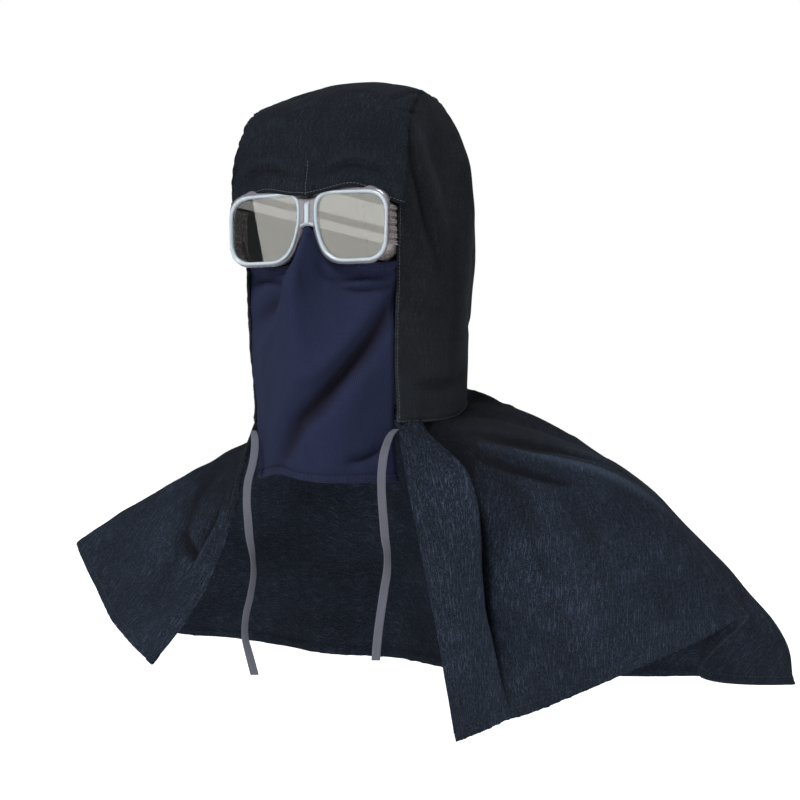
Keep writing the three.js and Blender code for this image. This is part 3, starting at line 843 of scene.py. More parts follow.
TAPE_YARN = ((0.062, 0.063, 0.078), (0.094, 0.097, 0.119))
TAPE_LIT = (0.133, 0.140, 0.172)
HERRINGBONE = Settings(half=2.0, lean=0.9, pitch=1.0)


def tape_finish():
    """Grey woven tape with a herringbone weave."""
    look = Finish("grey_tape")
    chart, x, y = look.chart()
    chevron = x.math("PINGPONG", x, HERRINGBONE.half)
    weave = look.wave(y + chevron * HERRINGBONE.lean, HERRINGBONE.pitch)
    yarn = look.grain(chart, 0.5, 2.2, 2.0)
    cloudy = look.grain(chart, 7.0, 18.0, 1.0, 5.0)
    base = look.blend(cloudy, *TAPE_YARN)
    return look.done(
        Base_Color=look.blend(weave * 0.45 + yarn * 0.45, base, TAPE_LIT),
        Roughness=0.82 + 0.1 * yarn,
        Normal=look.bump(weave + yarn * 0.4, 0.0003),
        Specular_IOR_Level=0.2,
    )


def thread_finish(name, colour, pale):
    """Sewing thread, paler in places."""
    look = Finish(name)
    tone = look.grain(look.place(), 2.5, 2.5, 1.0)
    return look.done(
        Base_Color=look.blend(tone, colour, pale),
        Roughness=0.6 + 0.2 * tone,
        Specular_IOR_Level=0.3,
    )


def frosted_finish(name, thin, thick, veil):
    """Frosted moulded plastic: its chart's first number runs from thin grey skirts to thick milky beads."""
    look = Finish(name)
    place = look.place()
    bead = look.parts(look.flat())["X"]
    cloud = look.grain(place, 9.0, 9.0, 3.0)
    speck = look.grain(place, 0.7, 0.7, 2.0, 7.0)
    scuff = look.between(0.55, 0.8, look.grain(place, 3.0, 3.0, 4.0, 19.0))
    return look.done(
        Base_Color=look.blend(bead * (0.85 + 0.3 * cloud), thin, thick),
        Roughness=0.2 + 0.12 * cloud + 0.12 * scuff,
        Normal=look.bump(speck, 0.00002, 0.15),
        IOR=1.49,
        Transmission_Weight=veil,
        Coat_Weight=0.3,
        Coat_Roughness=0.15,
    )


def lens_finish():
    """Clear lens with a faint green tint and handling smears."""
    look = Finish("clear_lens")
    smear = look.between(0.45, 0.75, look.grain(look.place(), 22.0, 5.0, 3.0))
    return look.done(
        Base_Color=(0.93, 0.97, 0.95),
        Roughness=0.015 * smear,
        IOR=1.5,
        Transmission_Weight=1.0,
    )


# Stitches and vents


class Growth(Nodes):
    """A geometry tree with named inputs, which grows a plain mesh from a mesh."""

    def __init__(self, name, **kinds):
        super().__init__(bpy.data.node_groups.new(name, "GeometryNodeTree"))
        sockets = self.tree.interface
        self.inputs = {
            key: sockets.new_socket(key, in_out="INPUT", socket_type="NodeSocket" + kind).identifier
            for key, kind in dict(Start="Geometry", **kinds).items()
        }
        sockets.new_socket("Made", in_out="OUTPUT", socket_type="NodeSocketGeometry")
        self.given = self.add("NodeGroupInput")

    def copies(self, points, instance, **turned):
        """Real copies of a shape at points."""
        laid = self.one("GeometryNodeInstanceOnPoints", Points=points, Instance=instance, **turned)
        return self.one("GeometryNodeRealizeInstances", Geometry=laid)

    def cut(self, solid, cutters):
        ways = dict(operation="DIFFERENCE", solver="EXACT")
        return self.one("GeometryNodeMeshBoolean", Mesh_1=solid, Mesh_2=cutters, **ways)

    def painted(self, geometry, finish):
        return self.one("GeometryNodeSetMaterial", Geometry=geometry, Material=self.given[finish])

    def done(self, made):
        self.add("NodeGroupOutput", Made=made)
        return self

    def mesh(self, name, start, **values):
        seed = link(name + "_seed", start)
        modifier = seed.modifiers.new("grow", "NODES")
        modifier.node_group = self.tree
        for key, value in values.items():
            modifier[self.inputs[key]] = value
        evaluated = seed.evaluated_get(bpy.context.evaluated_depsgraph_get())
        made = bpy.data.meshes.new_from_object(evaluated)
        made.name = name
        bpy.data.objects.remove(seed)
        return made


def stitch_growth():
    """Short lengths of thread laid end to end along seam lines."""
    sizes = dict(Pitch="Float", Length="Float", Thickness="Float")
    tree = Growth("stitch_row", **sizes, Seed="Int", Thread="Material")
    given = tree.given
    line = tree.one("GeometryNodeMeshToCurve", Mesh=given["Start"])
    spots = tree.add("GeometryNodeCurveToPoints", mode="LENGTH", Curve=line, Length=given["Pitch"])
    turn = tree.one("FunctionNodeAlignRotationToVector", axis="Z", Vector=spots["Tangent"])
    limits = dict(Min=0.86, Max=1.1)
    vary = tree.one("FunctionNodeRandomValue", data_type="FLOAT", Seed=given["Seed"], **limits)
    thick = given["Thickness"] * 0.5
    size = tree.one("ShaderNodeCombineXYZ", thick, thick, given["Length"] * 0.5 * vary)
    thread = tree.one("GeometryNodeMeshUVSphere", Segments=6, Rings=4, Radius=1.0)
    rounded = tree.one("GeometryNodeSetShadeSmooth", Geometry=thread)
    laid = tree.copies(spots["Points"], rounded, Rotation=turn, Scale=size)
    return tree.done(tree.painted(laid, "Thread"))


def vent_growth():
    """A field of slots cut through a shield, each with a raised lip."""
    vectors = dict(Field="Vector", Slot="Vector", Lip="Vector", Middle="Vector")
    paints = dict(Plastic="Material", Edge="Material")
    tree = Growth("vent_field", Rows="Int", Columns="Int", **vectors, **paints)
    given = tree.given
    field = tree.add("ShaderNodeSeparateXYZ", given["Field"])
    counts = dict(Vertices_X=given["Rows"], Vertices_Y=given["Columns"])
    spots = tree.one("GeometryNodeMeshGrid", Size_X=field["Z"], Size_Y=field["Y"], **counts)
    turned = dict(Translation=given["Middle"], Rotation=(0.0, math.pi / 2, 0.0))
    upright = tree.one("GeometryNodeTransform", Geometry=spots, **turned)
    cutters, blocks = (
        tree.copies(upright, tree.one("GeometryNodeMeshCube", Size=given[size])) for size in ("Slot", "Lip")
    )
    shield = tree.painted(tree.cut(given["Start"], cutters), "Plastic")
    lips = tree.painted(tree.cut(blocks, cutters), "Edge")
    return tree.done(tree.one("GeometryNodeJoinGeometry", Geometry=[shield, lips]))


STITCHING = stitch_growth()
VENTING = vent_growth()


def stitches(name, lines, thread, slot, seed, pitch=3.1, length=2.5, thickness=0.62):
    """One piece with a row of stitches along each line."""
    ends = np.cumsum([len(line) for line in lines]).tolist()
    edges = [(i, i + 1) for i in range(ends[-1]) if i + 1 not in ends]
    mesh = bpy.data.meshes.new(name + "_lines")
    mesh.from_pydata((np.concatenate(lines) * MM).tolist(), edges, [])
    sizes = dict(Pitch=pitch * MM, Length=length * MM, Thickness=thickness * MM)
    piece(name, STITCHING.mesh(name, mesh, Seed=seed, Thread=thread, **sizes), None, slot)


# Camera, at the photograph's angle: level, turned by 25 degrees to the hood's left
CAMERA = Settings(turn=25.0, distance=1400.0, height=-261.0, lens=75.6, shift=0.0425, sensor=36.0)


def set_camera():
    data = bpy.data.cameras.new("camera")
    data.lens, data.sensor_width, data.shift_x = (CAMERA[name] for name in ("lens", "sensor", "shift"))
    camera = link("camera", data)
    turn, reach = math.radians(CAMERA.turn), CAMERA.distance * MM
    camera.location = (reach * math.sin(turn), -reach * math.cos(turn), CAMERA.height * MM)
    camera.rotation_euler = (math.pi / 2, 0, turn)
    bpy.context.scene.camera = camera


set_camera()

# Finishes
CAPE_LOOK = denim_finish("indigo_denim", 1.0, (0.94, 0.96, 1.05))
HOOD_LOOK = denim_finish("indigo_denim_hood", 0.55, (0.84, 0.84, 0.81))
# The side panels' copy of the denim is tinted warmer and browner: painted warm light on the panels
SIDE_LOOK = denim_finish("indigo_denim_side", 0.6, (1.1, 0.97, 0.86))
KNIT_LOOK = knit_finish()
TAPE_LOOK = tape_finish()
PALE_THREAD = thread_finish("pale_thread", (0.045, 0.048, 0.052), (0.13, 0.135, 0.14))
BLACK_THREAD = thread_finish("black_thread", (0.008, 0.009, 0.011), (0.022, 0.026, 0.032))
NAVY_THREAD = thread_finish("navy_thread", (0.008, 0.009, 0.02), (0.02, 0.022, 0.048))
RIM_LOOK = frosted_finish("frosted_rim", (0.135, 0.118, 0.135), (0.47, 0.54, 0.59), 0.05)
SHIELD_LOOK = frosted_finish("frosted_shield", (0.20, 0.168, 0.172), (0.3, 0.27, 0.28), 0.05)
LIP_LOOK = frosted_finish("frosted_lip", (0.42, 0.40, 0.39), (0.46, 0.45, 0.45), 0.0)
LENS_LOOK = lens_finish()


# Drawstring ends


def tape_end(name, route, node, seed):
    """A flat tape that follows its route, with a little wave across and a raw cut end."""
    spans = len(route.x) - 1
    t = np.linspace(0, spans, TAPE.steps * spans + 1)
    middle = points_of(*(through(route[axis], t) for axis in "xyz"))
    bearing = np.radians(through(route.turn, t))
    width = points_of(np.cos(bearing), np.sin(bearing), 0.0)
    across = np.array([-1, -0.97, -0.9, -0.75, -0.5, -0.25, 0, 0.25, 0.5, 0.75, 0.9, 0.97, 1])
    grid = middle[:, None] + width[:, None] * (across * TAPE.width / 2)[None, :, None]
    normal = grid_normals(grid)
    grid = grid + normal * unevenness(grid, seed, TAPE.wave, TAPE.wave_rise)[..., None]
    selvedge = np.sqrt(np.maximum(1 - np.abs(across) ** TAPE.squareness, TAPE.least))[None, :, None]
    half = normal * TAPE.wall / 2 * selvedge
    mesh = wall_mesh(name, grid + half, grid - half, chart_of(grid))
    tape = piece(name, mesh, TAPE_LOOK, "tape", node)


tape_end("tape_left", LEFT_TAPE, "drawstring_left", 5)
tape_end("tape_right", RIGHT_TAPE, "drawstring_right", 6)


# Hood panels
# Each grid's steps with the lengths that space them; its swells as seed, wavelength and height;
# its gathers as side, seed, height and reach
CENTRE_GRID = Settings(down=(150, 430), across=(70, 190))
CENTRE_CRUMPLE = (
    ((21, 70, 0.7), (22, 26, 0.22)),
    (("first_column", 31, 0.7), ("last_column", 32, 0.7)),
)
SIDE_GRID = Settings(up=(100, 255), back=(84, 200))
SIDE_SWELLS, SIDE_GATHERS = ((80, 0.9), (28, 0.25)), (0.7, 0.3, 0.4)
MASK_GRID = Settings(down=(120, 165), across=(130, 150), crowding=1.3)
MASK_CRUMPLE = (((41, 60, 0.5), (42, 22, 0.18)), (("last_row", 43, 0.35, 6),))
CAPE_GRID = Settings(down=(86, 270), across=(15, 1750))
CAPE_CRUMPLE = (
    ((51, 110, 1.2), (52, 38, 0.35)),
    (("first_row", 53, 0.6, 14), ("last_row", 54, 0.35, 8)),
)
# The brow edge: its facing, with a painted shade line along the facing's edge and how far from the brow the
# folds' painted shade reaches, its dart and how far it droops on either side
FACING = Settings(rise=0.5, end=(11, 14), groove=2, groove_at=12, groove_width=1.6, worn_end=(45, 70))
DART = Settings(
    depth=0.6, width=1.0, lip=0.5, lip_at=2.6, lip_width=1.6, end=(24, 33), stitched=30, lift=0.25,
)
DART_STEPS = np.array([0.5, 1, 1.8, 3, 5])
DROOP = Settings(
    right=6.5, right_from=(4, 26), right_to=(64, 76), left=5.5, left_from=(-26, -6),
    reach=16, way=(0, -0.5, -1.0),
)
# The face edges of the side panels: pressed in beside the goggles, and lapped over the mask below them
PRESS = Settings(depth=1.2, width=7, low=(0.32, 0.37), high=(0.47, 0.52))
LAP = Settings(reach=11, inward=0.75, low=(0.0, 0.05), high=(0.36, 0.44))
# Painted light: the fold height that gives full painted shade or highlight, the painted light that lightens
# the side panels towards the neck, and the painted shade that darkens the cape near the neck seam
FULL_FOLD, FULL_KNIT_FOLD = 5, 8
SIDE_NECK_LIGHT = Settings(depth=2.6, end=(0.0, 0.5))
NECK_SHADE = Settings(depth=3.8, start=(2.0, 3.0), end=(30, 190))
# A painted shade line above the mask's hem: its strength, and its place and half width in millimetres from the
# hem
MASK_HEM_SHADE = Settings(depth=4, at=6.4, width=1.3)
MASK_TUCK = Settings(depth=2.2, start=(0.955, 1.0))


def centre_panel():
    """The strip from the brow over the crown to the nape, with a dart in the middle of its brow edge."""
    dart_steps = DART_STEPS / CENTRE_GRID.across[1]
    down = spaced(*CENTRE_GRID.down)[:, None]
    across = spaced(*CENTRE_GRID.across, np.concatenate([0.5 - dart_steps, 0.5 + dart_steps]))
    grid = centre_from_brow(down, 2 * across[None, :] - 1)
    folds = fold_heights(grid, centre_from_brow, CENTRE_FOLDS)
    from_brow, x = edge_distance(grid, "first_row"), grid[..., 0]
    dart = DART.depth * bell(x, DART.width) - DART.lip * bell(x - DART.lip_at, DART.lip_width)
    facing = FACING.rise * fade(from_brow, *FACING.end)
    height = folds + crumple(grid, *CENTRE_CRUMPLE) + facing - dart * fade(from_brow, *DART.end)
    grid = raised(grid, height)
    x = grid[..., 0]
    droop = DROOP.right * ease(-x, *DROOP.right_from) * fade(-x, *DROOP.right_to)
    droop = (droop + DROOP.left * ease(x, *DROOP.left_from)) * fade(from_brow, 0, DROOP.reach)
    grid = grid + droop[..., None] * DROOP.way
    for side in ("first_column", "last_column"):
        grid = tucked(grid, side, run=3.5, depth=1.5)
    edges = dict(first_row="hem", last_row="seam", first_column="seam", last_column="seam")
    # Painted light: the folds' painted shade and highlight, kept near the brow, less a painted shade line
    # along the facing's edge
    groove = FACING.groove * bell(from_brow - FACING.groove_at, FACING.groove_width)
    wear = (folds * fade(from_brow, *FACING.worn_end) - groove) / FULL_FOLD
    cloth = Settings(DENIM, hem=10, stitch=BROW_STITCH)
    made, wall = sewn("hood_centre", grid, cloth, edges, wear, HOOD_LOOK, "denim", "centre_panel")
    middle = np.argmin(np.abs(wall.outer[0, :, 0]))
    rows = run_lengths(wall.outer)[:, middle] < DART.stitched
    return made, wall, wall.outer[rows, middle] + DART.lift * wall.normal[rows, middle]


def side_panel(name, place, node, mirror, seed, lap):
    """A side panel from the face edge to the nape seam. Its face edge laps over the mask by about lap."""
    up = spaced(*SIDE_GRID.up)[:, None]
    grid = place(up, spaced(*SIDE_GRID.back)[None, :: -1 if mirror else 1])
    face, nape = ("last_column", "first_column") if mirror else ("first_column", "last_column")
    swells = [(seed + k, *swell) for k, swell in enumerate(SIDE_SWELLS)]
    gathers = [(side, seed + len(side), rise) for side, rise in zip(("last_row", face, nape), SIDE_GATHERS)]
    folds = fold_heights(grid, place, SIDE_FOLDS)
    height = folds + fold_heights(grid, place, SIDE_SWELL) + crumple(grid, swells, gathers)
    from_face = edge_distance(grid, face)
    pressed = PRESS.depth * bell(from_face, PRESS.width)
    grid = raised(grid, height - pressed * ease(up, *PRESS.low) * fade(up, *PRESS.high))
    lapped = lap * fade(from_face, 0, LAP.reach) * ease(up, *LAP.low) * fade(up, *LAP.high)
    grid = grid + lapped[..., None] * np.array([LAP.inward * (1 if mirror else -1), -1.0, 0])
    edges = {"first_row": "hem", "last_row": "seam", face: "hem", nape: "seam"}
    # Painted light: the folds' painted shade and highlight, and the panel painted lighter towards its neck
    # edge
    wear = (folds + SIDE_NECK_LIGHT.depth * fade(up, *SIDE_NECK_LIGHT.end)) / FULL_FOLD
    cloth = Settings(DENIM, hem=7, stitch=SEWN.stitch)
    return *sewn(name, grid, cloth, edges, wear, SIDE_LOOK, "denim", node), face, nape


def face_mask():
    """The knitted mask from under the goggles to its turned hem, with its sides tucked behind the panels."""
    down = spaced(*MASK_GRID.down)[:, None]
    even = 1 - 2 * spaced(*MASK_GRID.across)[None, :]
    across = np.sign(even) * np.abs(even) ** MASK_GRID.crowding
    grid = mask_point(across, down)
    folds = fold_heights(grid, mask_point, MASK_FOLDS)
    tuck = MASK_TUCK.depth * ease(np.abs(across), *MASK_TUCK.start)
    grid = raised(grid, folds + crumple(grid, *MASK_CRUMPLE) - tuck)
    from_hem = edge_distance(grid, "last_row")
    # Painted light: the folds' painted shade and highlight, less a painted shade line above the turned hem
    groove = MASK_HEM_SHADE.depth * bell(from_hem - MASK_HEM_SHADE.at, MASK_HEM_SHADE.width)
    wear = (folds - groove) / FULL_KNIT_FOLD
    edges = dict(first_row="hem", last_row="hem")
    return sewn("knit_mask", grid, KNIT, edges, wear, KNIT_LOOK, "knit", "face_mask")


def shoulder_cape():
    """The cape, sewn to the hood at the neck, with faced front edges and a narrow hem."""
    sections = len(CAPE.at) - 1
    steps, length = CAPE_GRID.across
    t = sections * (1 - spaced(sections * steps, length)[None, :])
    grid = cape_point(t, spaced(*CAPE_GRID.down)[:, None])
    folds = fold_heights(grid, cape_point, CAPE_FOLDS)
    height = folds + fold_heights(grid, cape_point, CAPE_SWELL) + crumple(grid, *CAPE_CRUMPLE)
    grid = tucked(raised(grid, height), "first_row", run=9, depth=2.6, lift=7.0)
    edges = dict(first_row="seam", last_row="hem", first_column="hem", last_column="hem")
    from_neck = edge_distance(grid, "first_row")
    # Painted light: the folds' painted shade and highlight, and painted shade that darkens the cape near the
    # neck seam everywhere but its left front band
    wear = (folds - NECK_SHADE.depth * ease(t, *NECK_SHADE.start) * fade(from_neck, *NECK_SHADE.end)) / FULL_FOLD
    cloth = Settings(DENIM, hem=9, stitch=CAPE_STITCH)
    return sewn("shoulder_cape", grid, cloth, edges, wear, CAPE_LOOK, "denim", "cape", cape_chart)


CENTRE, CENTRE_CLOTH, DART_LINE = centre_panel()
LEFT, LEFT_CLOTH, LEFT_FACE, LEFT_NAPE = side_panel(
    "hood_side_left", side_point, "side_panel_left", False, 61, 0)
RIGHT, RIGHT_CLOTH, RIGHT_FACE, RIGHT_NAPE = side_panel(
    "hood_side_right", right_side_point, "side_panel_right", True, 71, 7.5)
MASK_PIECE, MASK_CLOTH = face_mask()
CAPE_PIECE, CAPE_CLOTH = shoulder_cape()

# Rows of stitches
SIDES = (LEFT_CLOTH, RIGHT_CLOTH)
FACES = ((LEFT_CLOTH, LEFT_FACE), (RIGHT_CLOTH, RIGHT_FACE))
stitches(
    "stitches_pale",
    [cloth.line(face, trim=(0.0, 0.5)) for cloth, face in FACES]
    + [cloth.line("first_row") for cloth in SIDES]
    + [CENTRE_CLOTH.line("first_row", BROW_STITCH, lift=0.2), DART_LINE],
    PALE_THREAD, "denim", 11, pitch=2.8, length=2.3, thickness=0.5,
)
stitches(
    "stitches_black",
    [cloth.line(face, trim=(0.5, 1.0)) for cloth, face in FACES]
    + [cloth.line("last_row") for cloth in SIDES]
    + [LEFT_CLOTH.line(LEFT_NAPE), RIGHT_CLOTH.line(RIGHT_NAPE), CENTRE_CLOTH.line("last_row")]
    + [CAPE_CLOTH.line(side, CAPE_STITCH) for side in ("first_column", "last_column", "last_row")],
    BLACK_THREAD, "denim", 12,
)
MASK_ROWS = (("last_row", 6.0), ("last_row", 3.0), ("first_row", 6.0))
stitches("stitches_navy", [MASK_CLOTH.line(*row) for row in MASK_ROWS], NAVY_THREAD, "knit", 13)

# Goggles
LENS_CENTRE = np.array([37.6, -106.6, -127.0])
LENS_CORNERS = table(
    ("at", "x", "z", "cut"),
    ("top_inner", -28.8, 25, 12),
    ("nose_side", -28.8, 0, 10),
    ("bottom_inner", -19, -25.5, 15),
    ("bottom_outer", 27.5, -25.5, 16),
    ("top_outer", 28.8, 23.5, 17),
)
CORNER_GROWTH = 0.6
# The rim's section, round from the lens opening: how far out from it and how far behind the lens plane,
# first plain, then where a skirt runs up and back under the brow, and how much of it is bead
RIM_SECTION = table(
    ("grow", "depth", "outer_grow", "skirt_grow", "skirt_depth", "bead"),
    (0.0, 0.0, 0.0, 0.0, 0.0, 0.8),
    (0.1, -1.6, 0.1, 0.1, -1.6, 0.9),
    (0.5, -2.6, 0.5, 0.5, -2.6, 1.0),
    (1.2, -3.1, 1.2, 1.2, -3.1, 1.0),
    (1.9, -3.1, 1.9, 1.9, -3.1, 1.0),
    (2.5, -2.6, 2.5, 2.5, -2.6, 0.8),
    (2.9, -1.8, 2.9, 2.9, -1.7, 0.25),
    (3.4, -1.4, 3.1, 3.9, -1.0, 0.1),
    (4.1, -0.9, 2.9, 6.6, 1.2, 0.1),
    (4.2, 0.4, 2.4, 9.6, 4.6, 0.05),
    (4.2, 1.8, 2.1, 11.4, 7.0, 0.05),
    (4.0, 2.8, 1.9, 10.4, 7.4, 0.05),
    (2.6, 3.1, 1.6, 4.6, 3.8, 0.2),
    (0.8, 3.0, 0.8, 0.8, 3.0, 0.4),
    (0.1, 2.0, 0.1, 0.1, 2.0, 0.6),
)
RIM_STEPS = Settings(corner=9, straight=7, section=3)
SKIRT = Settings(
    above=(8, 20), outer=(6, 22), outer_cut=0.95, inner=(20, 27), inner_z=(-14, 2), inner_share=0.55,
)
BRIDGE = Settings(
    half=7.5, top=24, bottom=-2, arch=6, depth=4.0, steps=(41, 25), borders=9, roundness=0.95,
    bar=1.3, bar_width=2.4, bar_edge=(0.0, 0.4), bar_top=(0.75, 0.9), ledge_top=(0.09, 0.14),
    ledge_end=(0.7, 0.8), plain_bead=0.12, bar_bead=0.8,
)
SHIELD = Settings(
    reach=20, steps=9, wall=1.6, grow=1.0, top=17, bottom_x=16, gap=0.4, rim_back=3.0,
    rim_x=(18, 26), rim_z=(12, 20),
)
VENTS = Settings(
    rows=6, columns=3, pitch_z=5.4, pitch_y=5, first_y=3.4, long=3.4, high=1.7, deep=14, lip=0.45,
)


def lens_outline(grow):
    """The lens opening's outline, grown outwards, in x and z from the lens centre."""
    x = LENS_CORNERS.x + np.sign(LENS_CORNERS.x) * grow
    z = LENS_CORNERS.z + np.sign(LENS_CORNERS.z) * grow
    corners = points_of(x, z)
    before, after = np.roll(corners, 1, axis=0), np.roll(corners, -1, axis=0)
    cut = (LENS_CORNERS.cut + grow * CORNER_GROWTH)[:, None]
    start = corners + unit(before - corners) * cut
    end = corners + unit(after - corners) * cut
    points = []
    for k in range(len(corners)):
        s = np.linspace(0, 1, RIM_STEPS.corner + 1)[:, None]
        points.append(bend(start[k], corners[k], end[k], s))
        s = np.linspace(0, 1, RIM_STEPS.straight + 1)[1:-1, None]
        points.append(lerp(end[k], start[(k + 1) % len(corners)], s))
    return np.concatenate(points)


def skirt_share(outline):
    """How much of the skirt each outline point has: most of it above the lens and beside the bridge."""
    x, z = outline.T
    above = ease(z, *SKIRT.above) * (1 - SKIRT.outer_cut * ease(x, *SKIRT.outer))
    beside = ease(-x, *SKIRT.inner) * ease(z, *SKIRT.inner_z)
    return np.maximum(above, SKIRT.inner_share * beside)


def rim_points():
    """One rim as a closed tube, with a ring of outline points for each place on its section, and its beads."""
    count = len(RIM_SECTION.grow)
    wrapped = {name: np.concatenate([v[-2:], v, v[:3]]) for name, v in RIM_SECTION.items()}
    t = 2 + np.arange(count * RIM_STEPS.section) / RIM_STEPS.section
    section = Settings({name: through(column, t) for name, column in wrapped.items()})
    rings = []
    for k in range(len(t)):
        grown = (section[name][k] for name in ("grow", "outer_grow", "skirt_grow"))
        plain, drawn, skirted = (lens_outline(grow) for grow in grown)
        beside_shield = ease(plain[:, 0], *SHIELD.rim_x) * fade(plain[:, 1], *SHIELD.rim_z)
        share = skirt_share(plain)
        outline = lerp(lerp(plain, drawn, beside_shield[:, None]), skirted, share[:, None])
        depth = lerp(section.depth[k], section.skirt_depth[k], share)
        rings.append(points_of(outline[:, 0], depth, outline[:, 1]))
    return np.stack(rings), np.repeat(section.bead[:, None], len(rings[0]), axis=1)


def bridge_points():
    """The bridge's front and back, as two grids with rounded borders, and its bead shares."""
    u = np.linspace(-1, 1, BRIDGE.steps[0])[None, :]
    v = np.linspace(0, 1, BRIDGE.steps[1])[:, None]
    x = BRIDGE.half * u
    top = BRIDGE.top - BRIDGE.arch / 4 * (1 - u**2)
    bottom = BRIDGE.bottom + BRIDGE.arch / 2 * (1 - u**2)
    z = lerp(bottom, top, v)
    border = np.clip(np.minimum(v, 1 - v) * BRIDGE.borders, 0, 1)
    half = BRIDGE.depth / 2 * np.sqrt(1 - (1 - border) ** 2 * BRIDGE.roundness)
    bar = ease(1 - np.abs(x) / BRIDGE.bar_width, *BRIDGE.bar_edge) * fade(v, *BRIDGE.bar_top)
    ledge = fade(v, *BRIDGE.ledge_top) * fade(np.abs(u), *BRIDGE.ledge_end)
    raised_share = np.maximum(bar, ledge)
    front = points_of(x, -half - BRIDGE.bar * raised_share * border, z)
    return front, points_of(x, half, z), BRIDGE.plain_bead + BRIDGE.bar_bead * raised_share


def merged(name, parts):
    """One mesh from closed grids of points, each with its faces and bead shares."""
    points, faces, shares = zip(*parts)
    starts = np.cumsum([0] + [len(p) for p in points[:-1]])
    faces = [f + start for f, start in zip(faces, starts)]
    mesh = mesh_of(name, np.concatenate(points) * MM, np.concatenate(faces))
    share = np.concatenate(shares)
    set_chart(mesh, points_of(share, 0.0))
    return mesh


def goggle_rims():
    """Both rims and the bridge."""
    ring, bead = rim_points()
    sections, steps = ring.shape[:2]
    at = np.arange(sections * steps).reshape(sections, steps)
    around = np.roll(at, -1, 1)
    quads = points_of(at, around, np.roll(around, -1, 0), np.roll(at, -1, 0)).reshape(-1, 4)
    parts = []
    for side in (1, -1):
        moved = (ring + LENS_CENTRE) * [side, 1, 1]
        parts.append((moved.reshape(-1, 3), quads if side < 0 else quads[:, ::-1], bead.ravel()))
    front, rear, bar = bridge_points()
    block = np.concatenate([front.reshape(-1, 3), rear.reshape(-1, 3)]) + LENS_CENTRE * [0, 1, 1]
    parts.append((block, wall_faces(*front.shape[:2]), np.concatenate([bar.ravel()] * 2)))
    piece("goggle_rims", merged("goggle_rims", parts), RIM_LOOK, "frame_plastic", "goggle_frame")


def side_shield(name, node, side):
    """A vented shield that runs back from the outer half of a rim."""
    outline = lens_outline(SHIELD.grow)
    rim = outline[(outline[:, 0] > SHIELD.bottom_x) & (outline[:, 1] < SHIELD.top)]
    rim = rim[np.argsort(np.arctan2(rim[:, 1], rim[:, 0]))]
    back = np.linspace(0, SHIELD.reach, SHIELD.steps)[:, None]
    lens_x, lens_y, lens_z = LENS_CENTRE
    start = lens_y + SHIELD.rim_back + SHIELD.gap
    grid = points_of(side * (lens_x + rim[:, 0]), start + back, lens_z + rim[:, 1])
    half = grid_normals(grid) * SHIELD.wall / 2
    mesh = wall_mesh(name, grid + half, grid - half, np.zeros(grid.shape[:2] + (2,)))
    mesh.polygons.foreach_set("use_smooth", np.zeros(len(mesh.polygons), bool))
    long_field = (VENTS.columns - 1) * VENTS.pitch_y
    middle = (
        side * (lens_x + LENS_CORNERS.x[-1] + SHIELD.grow),
        start + VENTS.first_y + long_field / 2,
        lens_z,
    )
    vented = VENTING.mesh(
        name, mesh,
        Rows=VENTS.rows, Columns=VENTS.columns,
        Field=(0.0, long_field * MM, (VENTS.rows - 1) * VENTS.pitch_z * MM),
        Slot=(VENTS.deep * MM, VENTS.long * MM, VENTS.high * MM),
        Lip=tuple((v + 2 * VENTS.lip) * MM for v in (SHIELD.wall, VENTS.long, VENTS.high)),
        Middle=tuple(v * MM for v in middle),
        Plastic=SHIELD_LOOK,
        Edge=LIP_LOOK,
    )
    piece(name, vented, None, "frame_plastic", node)


goggle_rims()
side_shield("goggle_shield_left", "side_shield_left", 1)
side_shield("goggle_shield_right", "side_shield_right", -1)
for node in ("lens_left", "lens_right"):
    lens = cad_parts[node]
    lens.data.materials.clear()
    lens.data.materials.append(LENS_LOOK)


# Stage and light


# In metres: the floor, and the height that the soft boxes face
FLOOR = Settings(z=-0.84, half=9.0)
CARD_AIM = -0.13


def floor_finish():
    look = Finish("pale_floor")
    tone = look.grain(look.place(), 400.0, 400.0, 1.0)
    return look.done(
        Base_Color=look.blend(tone, (0.93,) * 3, (0.96,) * 3),
        Roughness=0.85 + 0.05 * tone,
        Specular_IOR_Level=0.1,
        Emission_Color=(1.0,) * 3,
        Emission_Strength=0.3,
    )


def set_floor():
    h, z = FLOOR.half, FLOOR.z
    mesh = mesh_of("floor", [(-h, -h, z), (h, -h, z), (h, h, z), (-h, h, z)], [(0, 1, 2, 3)])
    mesh.materials.append(floor_finish())
    link("floor", mesh)


def new_light(name, kind, strength, colour, **settings):
    data = bpy.data.lights.new(name, kind)
    for key, value in dict(settings, energy=strength, color=colour).items():
        setattr(data, key, value)
    return link(name, data)


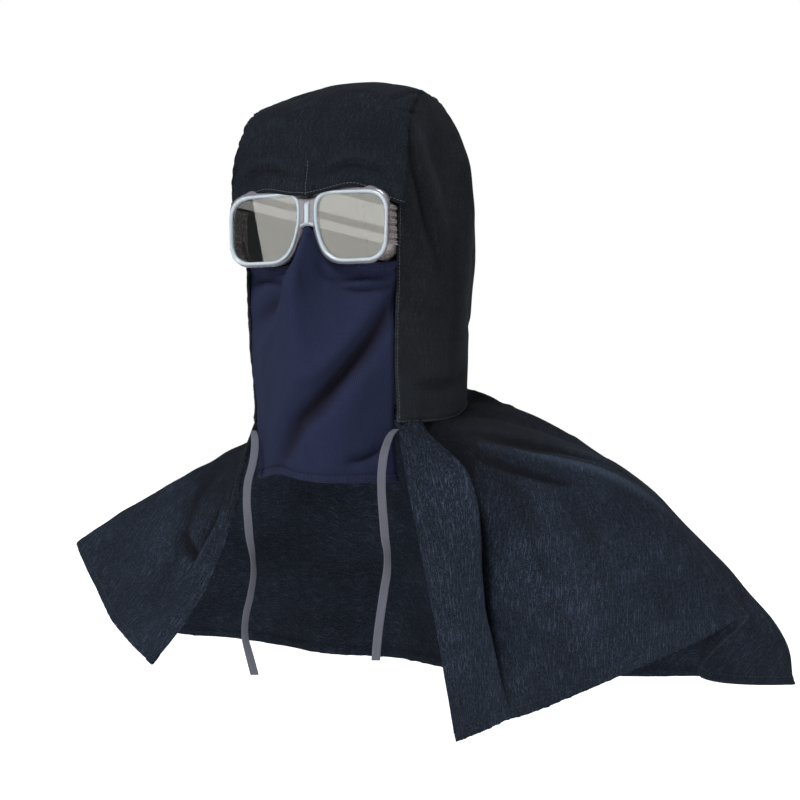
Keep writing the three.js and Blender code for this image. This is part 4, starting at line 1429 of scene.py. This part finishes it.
def set_sun(name, azimuth, elevation, strength, spread, colour):
    """A soft distant light that shines from an azimuth and elevation, in degrees, on the object."""
    sun = new_light(name, "SUN", strength, colour, angle=math.radians(spread))
    sun.rotation_euler = (math.radians(90 - elevation), 0, math.radians(azimuth))


def set_world(ambient):
    """Even soft light, with a white background."""
    world = bpy.data.worlds.new("studio")
    world.use_nodes = True
    world.node_tree.nodes.clear()
    nodes = Nodes(world.node_tree)
    seen = nodes.add("ShaderNodeLightPath")["Is Camera Ray"]
    strength = seen * (1.0 - ambient) + ambient
    glow = nodes.one("ShaderNodeBackground", Color=(1.0,) * 3, Strength=strength)
    nodes.add("ShaderNodeOutputWorld", Surface=glow)
    bpy.context.scene.world = world


def set_card(name, azimuth, elevation, roll, distance, size, power, colour):
    """A soft box turned to the object, which the lenses mirror; the camera does not see it."""
    card = new_light(name, "AREA", power, colour, shape="RECTANGLE", size=size[0], size_y=size[1])
    turn, lift = math.radians(azimuth), math.radians(elevation)
    flat = distance * math.cos(lift)
    height = distance * math.sin(lift) + CARD_AIM
    card.location = (flat * math.sin(turn), -flat * math.cos(turn), height)
    aimed = Matrix.Rotation(turn, 3, "Z") @ Matrix.Rotation(math.pi / 2 - lift, 3, "X")
    card.rotation_euler = (aimed @ Matrix.Rotation(math.radians(roll), 3, "Z")).to_euler()
    card.visible_camera = False


set_floor()
set_sun("key", -2, 48, 3.1, 18, (0.97, 0.985, 1.0))
set_sun("warm_side", 100, 20, 0.3, 40, (1.0, 0.85, 0.7))
set_card("soft_box", -24.7, 6, 10, 2.6, (0.336, 1.2), 4.8, (1.0, 0.97, 0.9))
set_card("high_tube", -24.6, 6.9, -14, 2.5, (0.5, 0.045), 0.14, (1.0, 0.98, 0.94))
set_card("low_tube", -24.6, 5.75, -14, 2.5, (0.5, 0.02), 0.06, (1.0, 0.98, 0.94))
set_sun("back_soft", 195, 38, 0.5, 40, (0.95, 0.97, 1.0))
set_world(0.16)
bpy.context.scene.view_settings.view_transform = "Standard"
